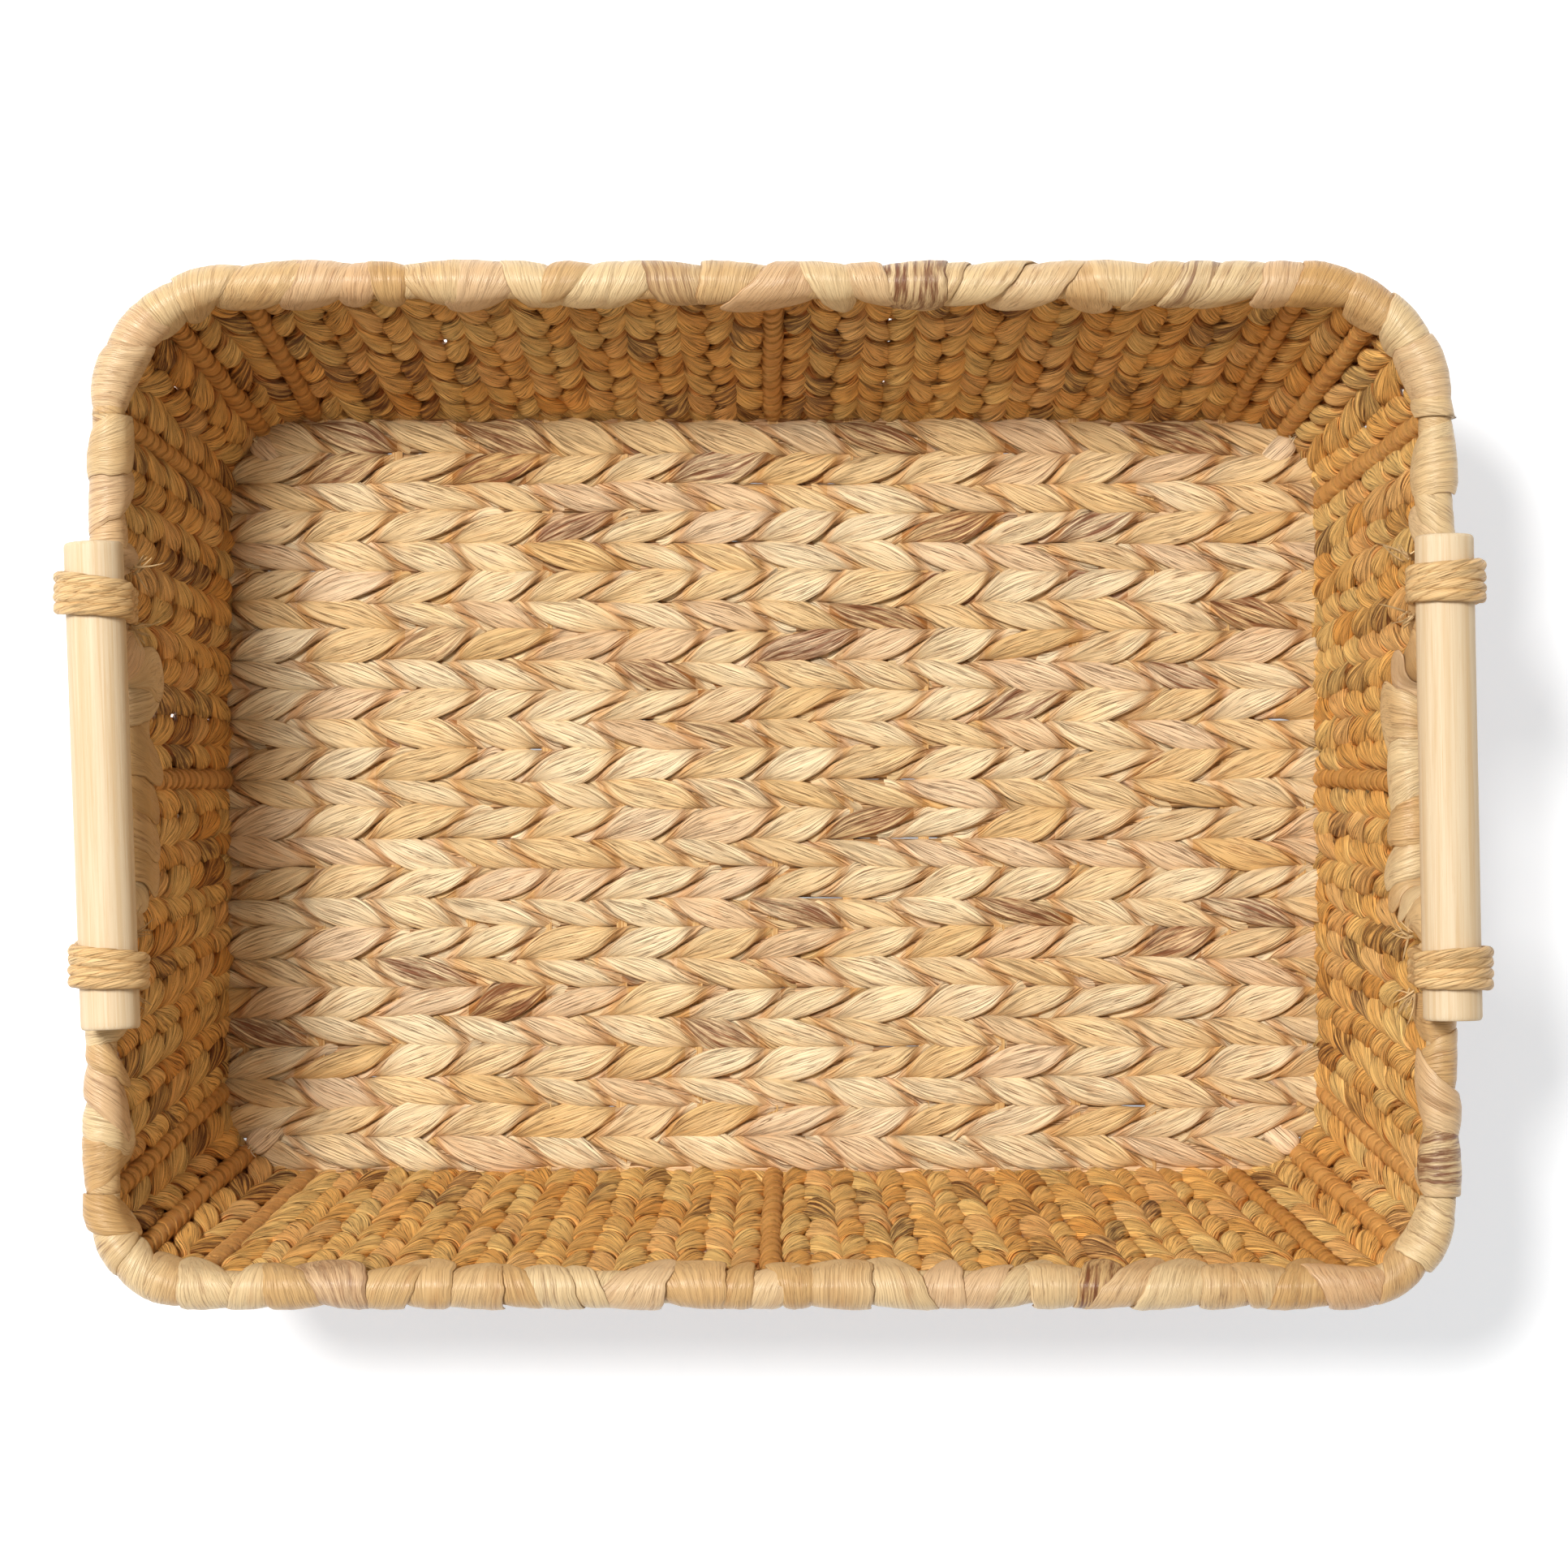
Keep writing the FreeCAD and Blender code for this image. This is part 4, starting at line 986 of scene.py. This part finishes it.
class Nodes:
    """Short calls for building one material's node tree."""

    def __init__(self, name):
        self.material = bpy.data.materials.new(name)
        self.material.use_nodes = True
        self.tree = self.material.node_tree
        self.shader = self.tree.nodes["Principled BSDF"]

    def feed(self, socket, value):
        """Sets a socket to a constant, or links another node's output to it."""
        if isinstance(value, (int, float, tuple)):
            socket.default_value = value
        else:
            self.tree.links.new(value, socket)

    def node(self, kind, inputs=(), **settings):
        made = self.tree.nodes.new(kind)
        for key, value in settings.items():
            setattr(made, key, value)
        for key, value in dict(inputs).items():
            self.feed(made.inputs[key], value)
        return made

    def attribute(self, name):
        return self.node("ShaderNodeAttribute", attribute_type="GEOMETRY", attribute_name=name)

    def stretched(self, source, factors):
        """The vector with each axis multiplied by its factor."""
        inputs = {0: source, 1: factors}
        return self.node("ShaderNodeVectorMath", inputs, operation="MULTIPLY").outputs[0]

    def noise(self, vector, detail=3.0, roughness=0.55, distortion=0.0):
        inputs = {
            "Scale": 1.0, "Detail": detail, "Roughness": roughness, "Distortion": distortion,
            "Vector": vector,
        }
        return self.node("ShaderNodeTexNoise", inputs).outputs["Fac"]

    def ramp(self, value, low, high, from_value=0.0, to_value=1.0):
        """The value mapped smoothly from low..high to from_value..to_value."""
        inputs = {
            "From Min": low, "From Max": high, "To Min": from_value, "To Max": to_value,
            "Value": value,
        }
        made = self.node("ShaderNodeMapRange", inputs, interpolation_type="SMOOTHSTEP")
        return made.outputs["Result"]

    def math(self, operation, first, second):
        return self.node("ShaderNodeMath", {0: first, 1: second}, operation=operation).outputs[0]

    def mix(self, factor, first, second):
        """The first colour turned into the second by the factor."""
        inputs = {0: factor, 6: first, 7: second}
        return self.node("ShaderNodeMix", inputs, data_type="RGBA").outputs[2]

    def bump(self, height, strength, distance):
        inputs = {"Strength": strength, "Distance": distance, "Height": height}
        return self.node("ShaderNodeBump", inputs).outputs["Normal"]

    def finish(self, colour, roughness, normal, specular):
        self.feed(self.shader.inputs["Base Color"], colour)
        self.feed(self.shader.inputs["Roughness"], roughness)
        self.feed(self.shader.inputs["Normal"], normal)
        self.feed(self.shader.inputs["Specular IOR Level"], specular)
        return self.material


def plant_fibre(name, colours, fine=1.0, stained=0.1, rough=(0.42, 0.62), specular=0.35,
                crease=0.7, crease_scale=1.0, crease_width=1.0, relief=0.9):
    """Dried strap leaf: long fibres, creases that follow the strand, and brown patches.

    colours are pale, tan, deep, the colour of stains and of the painted shade in the folds, pink and
    ochre. stained is the share of lobes with stains. crease and relief are how strong the dark fold
    lines, partly the leaf's own and partly painted shade, and the bumps are. deep is also used as
    painted shade where a strand is marked as shaded.
    """
    pale, tan, deep, stain_and_fold_shade, pink, ochre = (srgb(*colour) for colour in colours)
    nodes = Nodes(name)
    fibre = nodes.attribute("fibre").outputs["Vector"]
    wear = nodes.attribute("wear").outputs["Fac"]
    split = nodes.node("ShaderNodeSeparateXYZ")
    nodes.feed(split.inputs[0], nodes.attribute("lobe").outputs["Vector"])
    lobe_tone, lobe_stain, lobe_hue = split.outputs

    tone = nodes.noise(nodes.stretched(fibre, (0.035, 0.05, 0.05)), 2.0)
    tone = nodes.math(
        "ADD", nodes.math("MULTIPLY", lobe_tone, 0.5), nodes.math("MULTIPLY", tone, 0.9)
    )
    colour = nodes.mix(nodes.ramp(tone, 0.42, 1.05), pale, tan)
    colour = nodes.mix(nodes.ramp(lobe_hue, 0.74, 0.90, 0.0, 0.6), colour, pink)
    colour = nodes.mix(nodes.ramp(lobe_hue, 0.08, 0.26, 0.55, 0.0), colour, ochre)

    patch = nodes.noise(nodes.stretched(fibre, (0.10, 0.35, 0.35)), 3.0)
    colour = nodes.mix(nodes.ramp(patch, 0.50, 0.8, 0.0, 0.35), colour, deep)
    threads = nodes.noise(nodes.stretched(fibre, (0.06 * fine, 3.0 * fine, 3.0 * fine)), 4.0, 0.65)
    colour = nodes.mix(nodes.ramp(threads, 0.50, 0.80, 0.0, 0.3), colour, deep)

    streak = nodes.noise(nodes.stretched(fibre, (0.07, 0.75, 0.75)), 5.0, 0.68)
    heavy = nodes.math(
        "MULTIPLY",
        nodes.ramp(lobe_stain, 1 - stained - 0.01, 1 - stained * 0.6),
        nodes.ramp(streak, 0.38, 0.60),
    )
    colour = nodes.mix(nodes.math("MULTIPLY", heavy, 0.85), colour, stain_and_fold_shade)
    light = nodes.math(
        "MULTIPLY", nodes.ramp(lobe_stain, 0.55, 0.75, 0.0, 0.5), nodes.ramp(streak, 0.55, 0.68)
    )
    colour = nodes.mix(light, colour, stain_and_fold_shade)

    # Dark fold lines along the strand: partly the leaf's own fold lines and partly painted shade in the
    # folds. They show more strongly where a strand is marked as shaded.
    lines = None
    for across_scale, width in ((0.95 * crease_scale, 0.017), (2.1 * crease_scale, 0.024)):
        folds = nodes.noise(
            nodes.stretched(fibre, (0.022 * across_scale, across_scale, across_scale)), 2.0, 0.5, 0.15
        )
        ridge = nodes.math("ABSOLUTE", nodes.math("SUBTRACT", folds, 0.5), 0.0)
        line = nodes.ramp(ridge, 0.0, width * crease_width, 1.0, 0.0)
        if lines is None:
            lines = line
        else:
            lines = nodes.math("MAXIMUM", lines, nodes.math("MULTIPLY", line, 0.7))
    veil = nodes.noise(nodes.stretched(fibre, (0.07, 0.5, 0.5)), 2.0)
    amount = nodes.math(
        "ADD", nodes.ramp(veil, 0.40, 0.60, 0.25, 1.0), nodes.ramp(wear, 0.3, 0.9, 0.0, 0.8)
    )
    line_colour = nodes.math("MULTIPLY", nodes.math("MULTIPLY", lines, amount), crease)
    colour = nodes.mix(nodes.math("MINIMUM", line_colour, 0.92), colour, stain_and_fold_shade)
    # Painted shade: deep brown where a strand is marked as shaded, at crossings, edges, seams and over
    # the gap-closing strips
    colour = nodes.mix(nodes.ramp(wear, 0.6, 1.1, 0.0, 0.45), colour, deep)

    roughness = nodes.ramp(threads, 0.3, 0.7, *rough)
    height = nodes.math(
        "SUBTRACT", nodes.math("MULTIPLY", threads, 0.5), nodes.math("MULTIPLY", lines, 0.7)
    )
    normal = nodes.bump(height, relief, 0.0005)
    return nodes.finish(colour, roughness, normal, specular)


def pale_wood(name):
    """Sanded dowel: long fine grain with a few darker lines."""
    nodes = Nodes(name)
    grain = nodes.attribute("fibre").outputs["Vector"]
    bands = nodes.noise(nodes.stretched(grain, (0.012, 0.55, 0.55)), 3.0, 0.6, 0.3)
    fine = nodes.noise(nodes.stretched(grain, (0.04, 4.0, 4.0)), 3.0, 0.6)
    pores = nodes.noise(nodes.stretched(grain, (0.12, 7.0, 7.0)), 2.0, 0.6)
    colour = nodes.mix(nodes.ramp(bands, 0.35, 0.65), srgb(216, 199, 170), srgb(206, 183, 148))
    colour = nodes.mix(nodes.ramp(fine, 0.45, 0.75, 0.0, 0.35), colour, srgb(200, 160, 110))
    colour = nodes.mix(nodes.ramp(pores, 0.62, 0.72, 0.0, 0.4), colour, srgb(186, 140, 90))
    height = nodes.math("MULTIPLY", fine, 0.6)
    return nodes.finish(colour, nodes.ramp(fine, 0.3, 0.7, 0.5, 0.62),
                        nodes.bump(height, 0.35, 0.0002), 0.3)


def steel(name):
    """Plain drawn wire."""
    nodes = Nodes(name)
    place = nodes.node("ShaderNodeTexCoord").outputs["Object"]
    marks = nodes.noise(nodes.stretched(place, (900.0, 900.0, 900.0)), 3.0)
    colour = nodes.mix(marks, (0.30, 0.29, 0.28, 1.0), (0.45, 0.44, 0.43, 1.0))
    nodes.shader.inputs["Metallic"].default_value = 1.0
    return nodes.finish(colour, nodes.ramp(marks, 0.3, 0.7, 0.35, 0.5),
                        nodes.bump(marks, 0.2, 0.0001), 0.5)


def stake_strip(name):
    """Thin pale strip that the floor rows are twined round."""
    nodes = Nodes(name)
    place = nodes.node("ShaderNodeTexCoord").outputs["Object"]
    grain = nodes.noise(nodes.stretched(place, (2500.0, 60.0, 2500.0)), 3.0)
    colour = nodes.mix(nodes.ramp(grain, 0.3, 0.7), srgb(214, 178, 120), srgb(170, 120, 62))
    return nodes.finish(colour, nodes.ramp(grain, 0.3, 0.7, 0.5, 0.7),
                        nodes.bump(grain, 0.4, 0.0002), 0.3)


# ---------------------------------------------------------------- studio

def make_world():
    """Soft warm light from all round, behind which the room looks pale."""
    world = bpy.data.worlds.new("studio_world")
    world.use_nodes = True
    tree = world.node_tree
    fill = tree.nodes["Background"]
    fill.inputs["Color"].default_value = (1.0, 0.86, 0.70, 1.0)
    fill.inputs["Strength"].default_value = 0.46
    room = tree.nodes.new("ShaderNodeBackground")
    room.inputs["Color"].default_value = (0.93, 0.93, 0.94, 1.0)
    seen = tree.nodes.new("ShaderNodeLightPath")
    blend = tree.nodes.new("ShaderNodeMixShader")
    tree.links.new(seen.outputs["Is Camera Ray"], blend.inputs[0])
    tree.links.new(fill.outputs[0], blend.inputs[1])
    tree.links.new(room.outputs[0], blend.inputs[2])
    tree.links.new(blend.outputs[0], tree.nodes["World Output"].inputs["Surface"])
    return world


def make_studio():
    """A plain pale floor that glows slightly, a big soft light from the back left and the camera."""
    scene = bpy.context.scene
    mesh = bpy.data.meshes.new("studio_floor")
    reach = 6.0
    corners = [(-reach, -reach, 0), (reach, -reach, 0), (reach, reach, 0), (-reach, reach, 0)]
    mesh.from_pydata(corners, [], [(0, 1, 2, 3)])
    floor = bpy.data.objects.new("studio_floor", mesh)
    scene.collection.objects.link(floor)
    paper = bpy.data.materials.new("studio_paper")
    paper.use_nodes = True
    shader = paper.node_tree.nodes["Principled BSDF"]
    shader.inputs["Base Color"].default_value = (0.86, 0.86, 0.86, 1.0)
    shader.inputs["Roughness"].default_value = 0.9
    shader.inputs["Specular IOR Level"].default_value = 0.1
    shader.inputs["Emission Color"].default_value = (0.71, 0.85, 1.0, 1.0)
    shader.inputs["Emission Strength"].default_value = 0.52
    mesh.materials.append(paper)

    light = bpy.data.lights.new("key", "AREA")
    light.shape = "DISK"
    light.size = 0.6
    light.energy = 52.0
    light.color = (1.0, 0.985, 0.96)
    key = bpy.data.objects.new("key", light)
    direction = Vector((-0.38, 0.26, 1.0)).normalized()
    key.location = direction * 2.2
    key.rotation_mode = "QUATERNION"
    key.rotation_quaternion = direction.to_track_quat("Z", "Y")
    scene.collection.objects.link(key)

    scene.world = make_world()
    scene.view_settings.view_transform = "Standard"

    camera_data = bpy.data.cameras.new("camera")
    camera_data.sensor_width = 36.0
    camera_data.lens = 80.4
    camera = bpy.data.objects.new("camera", camera_data)
    camera.location = (0.0034, -0.0330, 1.0717)
    camera.rotation_euler = (math.radians(1.93), 0.0, 0.0)
    scene.collection.objects.link(camera)
    scene.camera = camera


# ---------------------------------------------------------------- the whole basket

# Each material's colours are pale, tan, deep, the colour of stains and of the painted shade in the
# folds, pink and ochre. deep also serves as painted shade at crossings, seams and gaps.
FLOOR_COLOURS = (
    (253, 232, 192), (243, 210, 156), (206, 136, 60), (120, 56, 16), (238, 204, 168), (226, 180, 106)
)
WALL_COLOURS = (
    (255, 214, 136), (252, 192, 106), (210, 116, 36), (84, 28, 6), (250, 194, 126), (238, 166, 76)
)
RIM_COLOURS = (
    (222, 197, 153), (204, 166, 114), (152, 92, 38), (104, 46, 14), (212, 174, 136), (192, 148, 86)
)
ROD_COLOURS = (
    (236, 180, 104), (218, 154, 78), (166, 92, 30), (92, 38, 10), (220, 162, 98), (206, 142, 62)
)
CORD_COLOURS = (
    (230, 196, 144), (212, 170, 112), (172, 118, 60), (116, 64, 28), (220, 180, 130), (208, 162, 96)
)


def main():
    """Makes the materials and every piece, and then the studio."""
    floor_fibre = plant_fibre("floor_hyacinth", FLOOR_COLOURS, stained=0.07, crease=0.8)
    wall_fibre = plant_fibre(
        "wall_hyacinth", WALL_COLOURS, stained=0.15, crease=1.0, crease_scale=1.2,
        crease_width=1.55, relief=1.0
    )
    rim_fibre = plant_fibre(
        "rim_hyacinth", RIM_COLOURS, 1.4, 0.05, rough=(0.28, 0.44), specular=0.55, crease=0.45,
        crease_scale=1.3, relief=0.6
    )
    upright_fibre = plant_fibre("upright_hyacinth", ROD_COLOURS, crease=0.6, crease_scale=1.3)
    cord_fibre = plant_fibre(
        "cord_fibre", CORD_COLOURS, 1.2, 0.02, rough=(0.4, 0.55), crease=0.3
    )
    make_floor(floor_fibre)
    make_walls(wall_fibre)
    make_uprights(upright_fibre)
    make_rim(rim_fibre)
    make_handles(pale_wood("dowel_wood"))
    make_lashings(cord_fibre)
    wire = steel("frame_wire")
    strip = stake_strip("stake_strip")
    for name in ("rim_wire", "base_wire", "upright_wires", "floor_stakes"):
        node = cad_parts[name]
        node.data.materials.clear()
        node.data.materials.append(strip if name == "floor_stakes" else wire)
    make_studio()


main()
